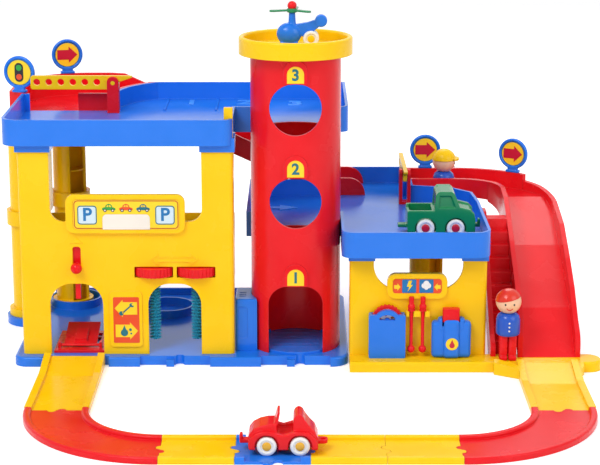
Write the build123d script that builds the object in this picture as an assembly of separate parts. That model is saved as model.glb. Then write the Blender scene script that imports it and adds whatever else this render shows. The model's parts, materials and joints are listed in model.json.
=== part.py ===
from build123d import *
import os
from math import atan2, cos, degrees, radians, sin, sqrt

# Toy parking garage with a lift, in millimetres.
# X runs along the front, Y away from the viewer, Z up.
# The origin is the lift tower's axis at the level of the floor it stands on.

# Clearances
fit_gap = 0.3
running_gap = 0.5
shaft_gap = 0.05

# Base plate and levels
base_height = 11.0
base_left = -325.5
base_right = 61.5
base_front = -60.0
base_back = 213.0
deck_two_level = 141.5
deck_three_level = 267.0
deck_floor = 3.0
deck_skirt = 9.0
rim_rise = 21.0
rim_wall = 3.5
collar_height = 8.0

# Lift tower
tower_radius = 52.0
tower_wall = 3.0
tower_height = 358.0
door_width = 62.6
door_top = 94.0
window_radius = 29.6
window_two_rise = 50.0
window_three_drop = 59.0
landing_width = 66.0
landing_two_height = 93.0
landing_three_height = 78.0
platform_floor = 3.0
platform_height = 5.0
helipad_radius = 65.0
helipad_lip = 6.0
helipad_rise = 18.0

# Garage front wall
facade_front = -46.0
facade_wall = 4.0
facade_left = -316.0
facade_right = -71.0
facade_return = 26.0
column_width = 36.0
facade_sill = 169.0
bay_width = 61.0
bay_height = 84.5
bay_left_x = -252.5
bay_right_x = -139.4
shelf_level = 96.0
shelf_floor = 4.0
shelf_back = 0.0

# Wash wheels and brushes
wash_wheel_radius = 23.0
wash_wheel_height = 10.4
wash_wheel_y = -33.0
wash_left_x = -163.0
wash_right_x = -114.4
wash_shaft = 2.5
brush_radius = 7.0
brush_height = 65.0
brush_lift = 26.0

# Lift ramp of the repair bay and its lever
lever_x = -251.0
lever_slot_width = 9.4
lever_slot_bottom = 108.6
lever_slot_top = 139.4
lever_knob = 6.5
lever_stem = 3.4
ramp_plate_width = 38.0
ramp_plate_length = 50.0
ramp_plate_tilt = 14.0
ramp_pin = 1.6
frame_width = 59.0
frame_height = 3.0

# Service station
station_front = -81.0
station_back = -47.0
station_left = 62.0
station_right = 352.0
station_base_height = 12.0
station_wall_right = 219.6
station_wall_front = -52.0
station_wall_thick = 4.0
station_column = 27.6
station_sill = 89.6

# Ramps and road
road_width = 72.0
road_wall = 5.8
road_floor = 3.0
turn_x = 206.0
turn_y = 166.0
turn_inner = 50.0
joint_angle = 41.8
link_start = 137.5
link_wall_top = 162.0
ramp_wall = 4.5
upper_ramp_front = 214.0
upper_ramp_back = 288.0
upper_road_level = 260.0
upper_road_wall = 28.0
stairs_width = 25.0
stairs_count = 10
stairs_rail = 9.0
stairs_front = -42.0
stairs_back = 83.0

# Track
track_width = 70.0
track_floor = 3.0
track_rail_width = 8.0
track_rail_height = 7.0
track_unit = 76.2
track_row_y = -339.5
track_turn = 119.0
track_start_x = -136.4
tab_width = 9.0
tab_offset = 5.5
notch_radius = 4.9

# Round rear columns
column_radius = 20.5
column_shell = 3.0
column_flare = 25.5
column_flange = 25.0
column_flange_height = 18.0
socket_radius = 32.5
socket_wall = 2.5
socket_height = 10.0

# Vehicle wheels
car_wheel = 10.0
truck_wheel = 10.5
copter_wheel = 9.1
axle_radius = 1.6


# ---------------------------------------------------------------- helpers

def block(x, y, z):
    # A box from three (from, to) pairs.
    size = (x[1] - x[0], y[1] - y[0], z[1] - z[0])
    return Pos(sum(x) / 2, sum(y) / 2, sum(z) / 2) * Box(*size)


def post(x, y, z, radius):
    # An upright cylinder.
    return Pos(x, y, sum(z) / 2) * Cylinder(radius, z[1] - z[0])


def rod(start, end, radius):
    # A cylinder between two points.
    along = Vector(*end) - Vector(*start)
    line = Plane(origin=start, z_dir=along.normalized())
    return line * Cylinder(radius, along.length, align=(Align.CENTER, Align.CENTER, Align.MIN))


def ball(x, y, z, radius):
    return Pos(x, y, z) * Sphere(radius)


def area(*points):
    return Polygon(*points, align=None)


def rect(across, up, radius=0):
    # A flat rectangle from two (from, to) pairs, with rounded corners if a radius is given.
    width = across[1] - across[0]
    height = up[1] - up[0]
    shape = RectangleRounded(width, height, radius) if radius else Rectangle(width, height)
    return Pos(sum(across) / 2, sum(up) / 2) * shape


def round_corner(face, spot, radius):
    # Rounds the corner of a flat face that lies nearest to a spot.
    nearest = min(face.vertices(), key=lambda v: (v.X - spot[0]) ** 2 + (v.Y - spot[1]) ** 2)
    return fillet(nearest, radius)


def arch(across, up, radius):
    # A doorway: a rectangle with its two upper corners rounded.
    face = rect(across, up)
    face = round_corner(face, (across[0], up[1]), radius)
    return round_corner(face, (across[1], up[1]), radius)


def cup(across, up, radius):
    # The same with its two lower corners rounded.
    face = rect(across, up)
    face = round_corner(face, (across[0], up[0]), radius)
    return round_corner(face, (across[1], up[0]), radius)


def plate(face, z):
    # A plan view made thick along Z.
    return extrude(Pos(0, 0, z[0]) * face, z[1] - z[0], dir=(0, 0, 1))


def front(face, y):
    # A front view, in X and Z, made thick along Y.
    return extrude(Plane((0, y[0], 0), (1, 0, 0), (0, -1, 0)) * face, y[1] - y[0], dir=(0, 1, 0))


def side(face, x):
    # A side view, in Y and Z, made thick along X.
    return extrude(Plane((x[0], 0, 0), (0, 1, 0), (1, 0, 0)) * face, x[1] - x[0], dir=(1, 0, 0))


def tray(outline, level, rise, skirt, wall, floor):
    # A moulded deck: floor, rim above it and skirt below it.
    inner = offset(outline, -wall)
    body = plate(outline, (level - skirt, level + rise))
    body -= plate(inner, (level, level + rise))
    return body - plate(inner, (level - skirt, level - floor))


def tube(x, y, z, outer, inner):
    return post(x, y, z, outer) - post(x, y, z, inner)


def band(line, drop):
    # A strip of even depth under a line of points.
    lower = [(p[0], p[1] - drop) for p in reversed(line)]
    return area(*line, *lower)


def under(line, bottom):
    # Everything between a line of points and a level below it.
    return area(*line, (line[-1][0], bottom), (line[0][0], bottom))


def connector(x, y, heading, height, cut):
    # The push-fit joint at the end of a road piece: a tab on one side of the middle
    # line and, with cut, the notch on the other side that takes the next piece's tab.
    turned = Pos(x, y, 0) * Rot(0, 0, heading)
    if cut:
        return turned * post(0, tab_offset, (-1, height + 1), notch_radius)
    return turned * post(0, -tab_offset, (0, height), notch_radius - fit_gap)


# ---------------------------------------------------------------- base

bay_recess = (bay_left_x - 39.5, bay_left_x + 36.5)
wash_recess = (bay_right_x - 40.5, bay_right_x + 40.5)
door_recess = (-40.0, 40.0)
recess_depth = 7.0
left_socket = (-328.0, 130.0)
mid_socket = (-279.0, 168.5)
spare_socket = (-160.0, 130.0)
column_shift = -4.0


def garage_base():
    outline = rect((base_left, base_right), (base_front, base_back))
    outline = round_corner(outline, (base_left, base_front), 15)
    outline = round_corner(outline, (base_right, base_front), 20)
    outline = round_corner(outline, (base_right, base_back), 12)
    outline = round_corner(outline, (base_left, base_back), 15)
    body = plate(outline, (0, base_height))
    rounded = body.edges().group_by(Axis.Z)[-1].group_by(Axis.Y)[0]
    body = fillet(rounded, 3)
    for recess in (bay_recess, wash_recess, door_recess):
        body -= block(recess, (base_front - 1, base_front + recess_depth), (-1, base_height + 1))
    for recess in (wash_recess, door_recess):
        middle = sum(recess) / 2
        tab = (middle - tab_offset - tab_width / 2, middle - tab_offset + tab_width / 2)
        body += block(tab, (base_front, base_front + recess_depth + 1), (0, base_height - 3))
        body -= post(middle + tab_offset, base_front + recess_depth, (-1, base_height + 1), notch_radius)
    body += post(*left_socket, (0, socket_height), socket_radius)
    body -= post(left_socket[0] + column_shift, left_socket[1], (socket_height, base_height + 1), column_flare + fit_gap)
    body += block((base_left + 15, base_right - 12), (base_back - 3, base_back), (base_height - 1, base_height + 8))
    for x, y in (mid_socket, spare_socket):
        body += tube(x, y, (base_height, base_height + socket_height), socket_radius, socket_radius - socket_wall)
    return body


# ---------------------------------------------------------------- rear columns

column_top = upper_road_level - road_floor
left_flange = 125.6
mid_flange = 141.0


def open_shell(x, y, z):
    # A tube whose front right quarter is open, with a web and gussets across it.
    inside = column_radius - column_shell
    body = tube(x, y, z, column_radius, inside)
    body -= block((x + 3, x + 40), (y - 40, y - 3), (z[0] - 1, z[1] + 1))
    web = Pos(x, y, sum(z) / 2) * Rot(0, 0, 45) * Box(2 * inside + 1, 2, z[1] - z[0])
    body += web
    for k in (0, 1, 2, 3):
        height = z[0] + k * (z[1] - z[0] - 2) / 3
        body += post(x, y, (height, height + 2), inside + 0.5)
    return body


def column_lower(spot, foot, flange):
    x = spot[0] + column_shift
    y = spot[1]
    body = open_shell(x, y, (foot, flange + column_flange_height / 2))
    return body + tube(x, y, (foot, foot + 9), column_flare, column_radius - 1)


def column_upper(spot, flange):
    x = spot[0] + column_shift
    y = spot[1]
    middle = flange + column_flange_height / 2
    body = open_shell(x, y, (middle, column_top))
    body += tube(x, y, (flange, flange + column_flange_height), column_flange, column_radius + fit_gap)
    return body + tube(x, y, (middle, middle + 3), column_flange, column_radius - 1)


def rear_column_lower():
    left = column_lower(left_socket, socket_height, left_flange)
    mid = column_lower(mid_socket, base_height, mid_flange)
    return Compound(children=[left, mid])


def rear_column_upper():
    left = column_upper(left_socket, left_flange)
    mid = column_upper(mid_socket, mid_flange)
    return Compound(children=[left, mid])


# ---------------------------------------------------------------- garage front wall

facade_top = deck_three_level - deck_skirt - collar_height
facade_left_column = (facade_left, facade_left + column_width)
facade_right_column = (facade_right - column_width, facade_right)
peg_x = (facade_right - 10, facade_right + 1)
peg_y = (-44.0, -37.0)
sign_panel = ((-262, -126), (156, 201.5))
plaque_panel = ((-214.6, -177), (20, 87))
wheel_slot_width = 44.4
wheel_slot_gap = 1.3
wheel_level = shelf_level + shelf_floor + 4


def arch_bay(x):
    return arch((x - bay_width / 2, x + bay_width / 2), (base_height - 1, base_height + bay_height), 25)


def garage_facade():
    y = (facade_front, facade_front + facade_wall)
    face = rect((facade_left, facade_right), (base_height, facade_top))
    face -= cup((facade_left_column[1], facade_right_column[0]), (facade_sill, facade_top + 1), 15)
    face -= arch_bay(bay_left_x) + arch_bay(bay_right_x)
    slot = (lever_x - lever_slot_width / 2, lever_x + lever_slot_width / 2)
    face -= rect(slot, (lever_slot_bottom, lever_slot_top), 3)
    for x in (wash_left_x, wash_right_x):
        across = (x - wheel_slot_width / 2, x + wheel_slot_width / 2)
        face -= rect(across, (wheel_level - wheel_slot_gap, wheel_level + wash_wheel_height + wheel_slot_gap), 1)
    body = front(face, y)
    back = (y[1] - 1, y[1] + facade_return)
    for outer, z in ((facade_left, (base_height, facade_top)), (facade_right - facade_wall, (base_height, facade_top))):
        body += block((outer, outer + facade_wall), back, z)
    upper = (facade_sill + 10, facade_top)
    body += block((facade_left_column[1] - facade_wall, facade_left_column[1]), back, upper)
    body += block((facade_right_column[0], facade_right_column[0] + facade_wall), back, upper)
    corners = body.edges().filter_by(Axis.Z).group_by(Axis.Y)[0].sort_by(Axis.X)
    body = fillet([corners[0], corners[-1]], facade_wall + 1)
    body += front(rect(*sign_panel, 10), (y[0] - 4, y[0] + 1))
    body -= front(rect((-254, -132), (160, 196), 5), (y[0] - 5, y[0] - 3.2))
    body += front(rect(*plaque_panel, 5), (y[0] - 1.6, y[0] + 1))
    shelf = block((facade_left + 1, facade_right - 1), (y[1] - 1, shelf_back), (shelf_level, shelf_level + shelf_floor))
    shelf += block((facade_left + 1, facade_right - 1), (shelf_back - 3, shelf_back), (shelf_level, facade_sill))
    for x in (facade_left, facade_right - facade_wall):
        shelf += block((x, x + facade_wall), (y[1] - 1, shelf_back), (shelf_level, facade_sill))
    for x in (wash_left_x, wash_right_x):
        shelf += post(x, wash_wheel_y, (shelf_level, wheel_level), wash_shaft + 4)
        shelf -= post(x, wash_wheel_y, (shelf_level - 1, wheel_level + 1), wash_shaft + shaft_gap)
    shelf -= block((lever_x - 7, lever_x + 7), (y[1], y[1] + 12), (shelf_level - 1, shelf_level + shelf_floor + 1))
    body += shelf
    pin_top = deck_three_level + 33
    body += block((facade_right - facade_wall, facade_right), (y[0] + 6, y[1] + 8), (facade_top - 5, facade_top))
    return body + block((peg_x[0], peg_x[1] - 1), peg_y, (facade_top - 5, pin_top))


# ---------------------------------------------------------------- decks

deck_three_arc = 106.0
deck_three_arc_x = base_left + 210.2
deck_three_gate = 125.0
gate_opening = (-323.0, -222.0)
gate_panel = -264.5
tower_fit = tower_radius + fit_gap
deck_three_corner = 20.0


def deck_three():
    outline = area(
        (-333, -54), (facade_right, -54), (facade_right, 32), (base_right, 32), (base_right, base_back),
        (-333, base_back))
    outline = round_corner(outline, (-333, -54), deck_three_corner)
    outline = round_corner(outline, (facade_right, -54), 12)
    outline = round_corner(outline, (base_right, 32), 12)
    away = rect((-360, deck_three_arc_x), (deck_three_gate, 230))
    away -= Pos(deck_three_arc_x, deck_three_gate) * Circle(deck_three_arc)
    outline -= away
    body = tray(outline, deck_three_level, rim_rise, deck_skirt, rim_wall, deck_floor)
    skirt = deck_three_level - deck_skirt
    for column in (facade_left_column, facade_right_column):
        collar = (column[0] - 2, column[1] + 2)
        depth = (facade_front - 2, facade_front + facade_return + 4)
        body += block(collar, depth, (skirt - collar_height, deck_three_level - 1))
    body -= post(0, 0, (skirt - 20, deck_three_level + 40), tower_fit)
    body -= block(gate_opening, (deck_three_gate - 6, deck_three_gate + 1), (deck_three_level, deck_three_level + 30))
    slot_x = (peg_x[0] - fit_gap, peg_x[1] + fit_gap)
    slot_y = (peg_y[0] - fit_gap, peg_y[1] + fit_gap)
    body -= block(slot_x, slot_y, (facade_top - 10, deck_three_level + 40))
    for x in (-160, -97.5):
        line = (deck_three_gate, base_back - 10)
        body += block((x - 1.5, x + 1.5), line, (deck_three_level - 1, deck_three_level + 1.5))
    return body


deck_two_left = tower_radius + 0.5
deck_two_right = 222.0
deck_two_front = -73.0
extension_left = 45.0
extension_right = link_start - fit_gap
deck_two_back = 179.0
extension_back = upper_ramp_back + rim_wall + fit_gap
station_column_x = 161.0
station_column_y = 120.0


def deck_two():
    outline = area(
        (deck_two_left, deck_two_front), (deck_two_right, deck_two_front), (deck_two_right, 88.6), (218, 138.6),
        (193, 167), (147, deck_two_back), (147, upper_ramp_front - 2), (extension_right, upper_ramp_front - 2),
        (extension_right, extension_back), (extension_left, extension_back), (extension_left, base_back),
        (-58.6, base_back), (-58.6, 32), (deck_two_left, 32))
    outline = round_corner(outline, (deck_two_left, deck_two_front), 15)
    outline = round_corner(outline, (deck_two_right, deck_two_front), 18)
    body = tray(outline, deck_two_level, rim_rise, deck_skirt, rim_wall, deck_floor)
    skirt = deck_two_level - deck_skirt
    for x in ((station_left, station_left + station_column),
              (station_wall_right - station_column, station_wall_right)):
        depth = (station_wall_front - 2, station_wall_front + facade_return)
        body += block((x[0] - 1.5, x[1] + 1.5), depth, (skirt - collar_height, deck_two_level - 1))
    body -= post(0, 0, (skirt - 20, deck_two_level + 40), tower_fit)
    above = (deck_two_level, deck_two_level + 30)
    body -= block((extension_left - 1, extension_left + 6), (upper_ramp_front - 1, upper_ramp_back + fit_gap), above)
    lane = (turn_y + turn_inner, turn_y + turn_inner + road_width)
    return body - block((extension_right - 6, extension_right + 1), lane, above)


# ---------------------------------------------------------------- roads and ramps

curve_left = -350.7
curve_joint = -240.0
curve_inner = deck_three_arc + fit_gap + 0.4


def upper_curve():
    outline = area(
        (-329, deck_three_gate + fit_gap), (curve_left, 143), (curve_left, upper_ramp_back),
        (curve_joint, upper_ramp_back), (curve_joint, upper_ramp_front - fit_gap),
        (-174, upper_ramp_front - fit_gap), (-174, deck_three_gate + fit_gap))
    outline = round_corner(outline, (curve_left, upper_ramp_back), 85)
    outline -= Pos(deck_three_arc_x, deck_three_gate) * Circle(curve_inner)
    bottom = upper_road_level - road_floor
    top = upper_road_level + upper_road_wall
    body = plate(outline, (bottom, top))
    body -= plate(offset(outline, -ramp_wall), (upper_road_level, top + 1))
    above = (upper_road_level, top + 1)
    body -= block((-326, gate_panel), (deck_three_gate - 1, deck_three_gate + 6), above)
    body -= block((curve_joint - 6, curve_joint + 1), (upper_ramp_front - 6, upper_ramp_back - ramp_wall), above)
    return body - block((curve_joint - 6, -186), (upper_ramp_front - 6, upper_ramp_front + 1), above)


def upper_ramp():
    joint = curve_joint + fit_gap
    end = extension_left - fit_gap
    floor_line = [(joint, upper_road_level), (-215, upper_road_level), (end, deck_two_level)]
    lane = (upper_ramp_front, upper_ramp_back)
    body = front(band(floor_line, road_floor), lane)
    wall = area(
        (joint, upper_road_level - road_floor), (joint, upper_road_level + upper_road_wall),
        (-222, upper_road_level + 27), (extension_left, deck_two_level + 22), (88, deck_two_level + 22),
        (88, deck_two_level), (end, deck_two_level), (end, deck_two_level - road_floor),
        (-215, upper_road_level - road_floor))
    wall = round_corner(wall, (88, deck_two_level + 22), 21)
    near = wall - rect((joint - 1, -184), (upper_road_level - 60, upper_road_level + 60))
    body += front(near, (lane[0], lane[0] + ramp_wall))
    return body + front(wall, (lane[1] - ramp_wall, lane[1]))


def lane(inner, outer):
    # Plan of the road between two distances from the turn's middle: run, turn and run.
    turn = Circle(turn_inner + outer) - Circle(turn_inner + inner)
    turn &= rect((0, 300), (0, 300))
    first = rect((link_start - turn_x, 0), (turn_inner + inner, turn_inner + outer))
    last = rect((turn_inner + inner, turn_inner + outer), (ramp_foot - turn_y, 0))
    return Pos(turn_x, turn_y) * (turn + first + last)


def past_joint(gap):
    # The part of the plan that lies beyond the joint in the turn.
    reach = 260
    tilt = (reach * cos(radians(joint_angle)), reach * sin(radians(joint_angle)))
    shift = (gap * sin(radians(joint_angle)), -gap * cos(radians(joint_angle)))
    start = (turn_x + shift[0] - 8 * cos(radians(joint_angle)), turn_y + shift[1] - 8 * sin(radians(joint_angle)))
    return area(start, (turn_x - 40, ramp_foot - 30), (turn_x + 300, ramp_foot - 30),
                (turn_x + 300, turn_y + tilt[1] + shift[1]), (turn_x + tilt[0] + shift[0], turn_y + tilt[1] + shift[1]))


ramp_foot = -62.0
ramp_line = [
    (turn_y + turn_inner + road_width, deck_two_level), (205, deck_two_level), (103, 104), (-1, 54),
    (ramp_foot, station_base_height + 0.6)]
ramp_outer_top = [
    (turn_y + turn_inner + road_width, 157), (223, 152), (103, 131), (43.6, 103.4), (-1, 79), (-37, 50),
    (ramp_foot, 36)]
ramp_inner_top = [
    (turn_y + turn_inner + road_width, 163), (166, 162), (130, 158), (52, 122), (-30, 78), (ramp_foot, 60)]
stairs_left = turn_x + turn_inner - stairs_width - fit_gap


def road_link():
    bottom = deck_two_level - road_floor
    beyond = past_joint(0)
    body = plate(lane(0, road_width) - beyond, (bottom, deck_two_level))
    walls = lane(0, road_wall) + lane(road_width - road_wall, road_width)
    return body + plate(walls - beyond, (bottom, link_wall_top))


def lower_ramp():
    past = past_joint(fit_gap)
    across = (turn_x - 1, turn_x + turn_inner + road_width + 1)
    tall = (-1, 200)
    floor = plate(lane(0, road_width) & past, tall) & side(band(ramp_line, road_floor), across)
    outer = round_corner(under(ramp_outer_top, 0), (ramp_foot, 36), 20)
    inner = round_corner(under(ramp_inner_top, 0), (ramp_foot, 60), 40)
    below = band([(p[0], p[1] - road_floor) for p in ramp_line], 200)
    outer_wall = plate(lane(road_width - road_wall, road_width) & past, tall) & side(outer - below, across)
    inner_wall = plate(lane(0, road_wall) & past, tall) & side(inner - below, across)
    body = floor + outer_wall + inner_wall
    body -= block((across[0] - 30, station_right + 5), (station_front, station_back + fit_gap), (-5, station_base_height))
    return body - block((0, 400), (-200, 300), (-90, 0))


def ramp_stairs():
    rise = (deck_two_level - station_base_height) / stairs_count
    run = (stairs_back - stairs_front) / (stairs_count - 1)
    steps = []
    for k in range(stairs_count):
        y = stairs_front + k * run
        steps.append((y, station_base_height + k * rise))
        steps.append((y, station_base_height + (k + 1) * rise))
    steps.append((stairs_back + 20, deck_two_level))
    tread = area(*steps, (stairs_back + 20, deck_two_level - 12), (stairs_front + 6, 0), (stairs_front, 0))
    across = (stairs_left, turn_x + turn_inner - fit_gap)
    body = side(tread, across)
    foot = station_base_height
    rail = area((stairs_front - 17, foot), (stairs_front - 17, foot + rise), (stairs_front, foot + rise + stairs_rail),
                (stairs_back, deck_two_level + stairs_rail), (stairs_back + 20, deck_two_level + stairs_rail),
                (stairs_back + 20, deck_two_level - 12), (stairs_front + 6, foot - 12), (stairs_front, foot - 12))
    rail = round_corner(rail, (stairs_front - 17, foot + rise), 10)
    body += side(rail, (stairs_left - road_wall, stairs_left))
    base = block((stairs_left - 20, stairs_left + 60), (station_front, station_back + fit_gap), (-20, foot))
    return body - base


# ---------------------------------------------------------------- lift tower

tower_bore = tower_radius - tower_wall
window_two = deck_two_level + window_two_rise
window_three = tower_height - window_three_drop
plaques = ((door_top, 26.4), (window_two + window_radius, 26), (window_three + window_radius - 0.5, 27))


def tower_shell():
    ahead = (-tower_radius - 10, 0)
    behind = (0, tower_radius + 10)
    body = tube(0, 0, (base_height, tower_height), tower_radius, tower_bore)
    for bottom, height in plaques:
        body += front(arch((-13.5, 13.5), (bottom, bottom + height), 13.2), (-tower_radius - 2.2, -tower_radius + 6))
    body -= post(0, 0, (base_height, tower_height), tower_bore)
    body -= front(arch((-door_width / 2, door_width / 2), (base_height - 1, door_top), 25), ahead)
    for level in (window_two, window_three):
        body -= front(Pos(0, level) * Circle(window_radius), ahead)
    half = landing_width / 2
    body -= front(arch((-half, half), (deck_two_level, deck_two_level + landing_two_height), 25), behind)
    return body - front(arch((-half, half), (deck_three_level, deck_three_level + landing_three_height), 25), behind)


def lift_platform():
    radius = tower_bore - running_gap
    bottom = base_height
    body = post(0, 0, (bottom, bottom + platform_height), radius)
    body -= post(0, 0, (bottom + platform_floor, bottom + platform_height), radius - 2.5)
    body -= block((-30, 30), (-60, 60), (bottom + platform_floor, bottom + platform_height + 1))
    for k in range(5):
        y = -28 + 14 * k
        body -= block((-27, 27), (y - 1, y + 1), (bottom + platform_floor - 0.8, bottom + platform_floor))
    return body


def helipad():
    floor = (tower_height, tower_height + 6)
    body = post(0, 0, floor, helipad_radius)
    lip = tube(0, 0, (tower_height - 2, tower_height + helipad_rise), helipad_radius, helipad_radius - helipad_lip)
    lip = fillet(lip.edges().group_by(Axis.Z)[-1], helipad_lip / 2 - 0.1)
    return body + lip + tube(0, 0, (tower_height - 7, tower_height), tower_bore - fit_gap, tower_bore - 4)


hoist_x = (-tower_radius - 18, -tower_radius + 7)
hoist_top = 73.0
crank_x = -tower_radius - 6.5
crank_z = 44.0
crank_radius = 10.5
hoist_y = (-32.5, sqrt(tower_fit ** 2 - (crank_x + crank_radius) ** 2))
crank_shaft = 2.5


def hoist_housing():
    body = block(hoist_x, hoist_y, (base_height, hoist_top))
    body = fillet(body.edges().filter_by(Axis.Z).group_by(Axis.X)[0], 3)
    body = fillet(body.edges().group_by(Axis.Z)[-1], 2)
    body -= post(0, 0, (0, 100), tower_fit)
    body -= front(rect((hoist_x[0] + 3, hoist_x[0] + 14), (26, 64), 4), (hoist_y[0] - 1, hoist_y[0] + 0.8))
    body -= rod((crank_x, hoist_y[1] - 12, crank_z), (crank_x, hoist_y[1] + 1, crank_z), crank_shaft + shaft_gap)
    for y in (-20, -12, -4):
        body -= block((hoist_x[0] + 4, hoist_x[0] + 12), (y, y + 3), (hoist_top - 1.2, hoist_top + 1))
    return body


def hoist_crank():
    back = hoist_y[1] + running_gap
    body = rod((crank_x, back - 10, crank_z), (crank_x, back + 1, crank_z), crank_shaft)
    body += rod((crank_x, back + 0.5, crank_z), (crank_x, back + 6, crank_z), crank_radius)
    return body + rod((crank_x, back + 5, crank_z + 6), (crank_x, back + 16, crank_z + 6), 3)


# ---------------------------------------------------------------- service station

station_wall_top = deck_two_level - deck_skirt - collar_height
pump_x = (84.0, 126.0)
pump_depth = 14.0
pump_shoulder = 63.4
dial_radius = 18.0
dial_z = 56.0
dial_shaft = 3.0
nozzle_x = (132.8, 146.0)
nozzle_y = station_wall_front - 7
nozzle_rod = 2.0
bracket_z = (60.0, 67.0)
can_x = (156.0, 201.7)
can_top = 60.0
cap_x = (168.5, 188.0)
cap_top = 70.6
cap_travel = 4.0


def station_base():
    foot = rect((station_left, station_right), (station_front, station_back))
    foot = round_corner(foot, (station_right, station_front), 16)
    foot = round_corner(foot, (station_right, station_back), 16)
    body = plate(foot, (0, station_base_height))
    body = fillet(body.edges().group_by(Axis.Z)[-1].group_by(Axis.Y)[0], 3)
    return body - plate(offset(foot, -4), (-1, station_base_height - 4))


def station_wall():
    y = (station_wall_front, station_wall_front + station_wall_thick)
    face = rect((station_left, station_wall_right), (station_base_height, station_wall_top))
    between = (station_left + station_column, station_wall_right - station_column)
    face -= cup(between, (station_sill, station_wall_top + 1), 30)
    body = front(face, y)
    back = (y[1] - 1, y[1] + 20)
    for x in (station_left, station_wall_right - station_wall_thick):
        body += block((x, x + station_wall_thick), back, (station_base_height, station_wall_top))
    body -= block((0, 400), (station_back - fit_gap, 100), (0, station_base_height + 0))
    corners = body.edges().filter_by(Axis.Z).group_by(Axis.Y)[0].sort_by(Axis.X)
    body = fillet([corners[0], corners[-1]], station_wall_thick)
    body += front(rect((105, 174), (80, 109.7), 10), (y[0] - 3, y[1]))
    body -= front(rect((111, 168), (86, 104), 4), (y[0] - 4, y[0] - 2.2))
    body -= front(rect((126.5, 156), (station_base_height + 4, bracket_z[0]), 3), (y[0] - 1, y[0] + 1.5))
    bracket = block((127, 154), (nozzle_y - 2, y[0] + 1), bracket_z)
    for x in nozzle_x:
        bracket -= post(x, nozzle_y, (0, 100), nozzle_rod + running_gap)
        bracket -= block((x - nozzle_rod - 0.5, x + nozzle_rod + 0.5), (nozzle_y - 5, nozzle_y), (0, 100))
    return body + bracket


def pump_cabinet():
    y = (station_wall_front - pump_depth, station_wall_front - fit_gap)
    middle = sum(pump_x) / 2
    face = rect(pump_x, (station_base_height, pump_shoulder), 2)
    face += Pos(middle, pump_shoulder - 10) * Circle(16)
    face += rect((middle - 15, middle + 15), (pump_shoulder - 10, pump_shoulder))
    body = front(face, y)
    cavity = (y[0] + 6 - running_gap, y[0] + 10.5 + running_gap)
    body -= front(Pos(middle, dial_z) * Circle(dial_radius + running_gap + 0.5), cavity)
    window = Pos(middle, dial_z + 3) * Ellipse(9, 4.5)
    body -= front(window & rect((0, 200), (dial_z + 1.5, 200)), (y[0] - 1, y[0] + 7))
    return body + rod((middle, y[0] + 4, dial_z), (middle, y[1] - 2, dial_z), dial_shaft)


def ridged_disc(radius, ridges, depth):
    # A flat disc outline with shallow round notches along its edge.
    face = Circle(radius)
    for k in range(ridges):
        turn = radians(360 * k / ridges)
        face -= Pos((radius + depth * 0.4) * cos(turn), (radius + depth * 0.4) * sin(turn)) * Circle(depth)
    return face


def pump_dial():
    y = station_wall_front - pump_depth + 6
    middle = sum(pump_x) / 2
    face = ridged_disc(dial_radius, 24, 1.5) - Circle(dial_shaft + shaft_gap)
    return front(Pos(middle, dial_z) * face, (y, y + 4.5))


def nozzle(x):
    top = bracket_z[1]
    body = post(x, nozzle_y, (21.5, top + 12), nozzle_rod)
    body += post(x, nozzle_y, (top, top + 2), 4.2)
    body += ball(x, nozzle_y, top + 5, 4.2)
    body += post(x, nozzle_y, (top + 8, top + 16.6), 2.9)
    return body + ball(x, nozzle_y, 21.5, 4.5)


def nozzle_air():
    return nozzle(nozzle_x[0])


def nozzle_water():
    return nozzle(nozzle_x[1])


def cap_outline(gap):
    return rect((cap_x[0] - gap, cap_x[1] + gap), (station_wall_front - 14 - gap, station_wall_front - 4 + gap), 3)


def oil_can():
    y = (station_wall_front - 17, station_wall_front - fit_gap)
    shoulders = rect(can_x, (station_base_height, can_top), 9)
    shoulders += rect(can_x, (station_base_height, station_base_height + 15))
    body = front(shoulders, (y[0] + 2, y[1]))
    body += front(rect((can_x[0] + 8, can_x[1] - 8), (station_base_height, can_top - 2), 6), (y[0], y[0] + 6))
    body += front(Pos(sum(can_x) / 2 + 0.6, 30) * Circle(8), (y[0] - 0.8, y[0] + 1))
    return body - plate(cap_outline(running_gap), (can_top - 9, can_top + 20))


def can_button():
    return plate(cap_outline(0), (can_top - 9 + cap_travel, cap_top))


def station_rear_column():
    x = station_column_x
    y = station_column_y
    top = deck_two_level - deck_floor
    body = open_shell(x, y, (socket_height, top))
    body += tube(x, y, (0, socket_height + 9), column_flare, column_radius - 1)
    return body + post(x, y, (0, socket_height), column_flare)


# ---------------------------------------------------------------- repair bay

frame_x = (-281.0, -281.0 + frame_width)
frame_y = (-46.0 + 4.4, 38.0)
ramp_hinge_y = -30.0
ramp_hinge_z = base_height + frame_height + 3.4


def repair_frame():
    z = (base_height, base_height + frame_height)
    body = block(frame_x, frame_y, z)
    body -= block((frame_x[0] + 9, frame_x[1] - 9), (frame_y[0] + 16, frame_y[1] - 10), (0, 40))
    body += block(frame_x, (frame_y[1] - 26, frame_y[1] - 22), z)
    for x in (frame_x[0] + 4, frame_x[1] - 7):
        lug = block((x, x + 3), (ramp_hinge_y - 4, ramp_hinge_y + 4), (z[0], ramp_hinge_z + 4))
        body += lug - rod((x - 1, ramp_hinge_y, ramp_hinge_z), (x + 4, ramp_hinge_y, ramp_hinge_z), ramp_pin + shaft_gap)
    return body


def repair_ramp():
    middle = sum(frame_x) / 2
    slab = Box(ramp_plate_width, ramp_plate_length, 3, align=(Align.CENTER, Align.MIN, Align.CENTER))
    slab += Pos(0, 18, 3) * Box(14, 24, 4)
    slab = Pos(middle, ramp_hinge_y, ramp_hinge_z) * Rot(ramp_plate_tilt, 0, 0) * slab
    return slab + rod((frame_x[0] + 4, ramp_hinge_y, ramp_hinge_z), (frame_x[1] - 4, ramp_hinge_y, ramp_hinge_z), ramp_pin)


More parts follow.
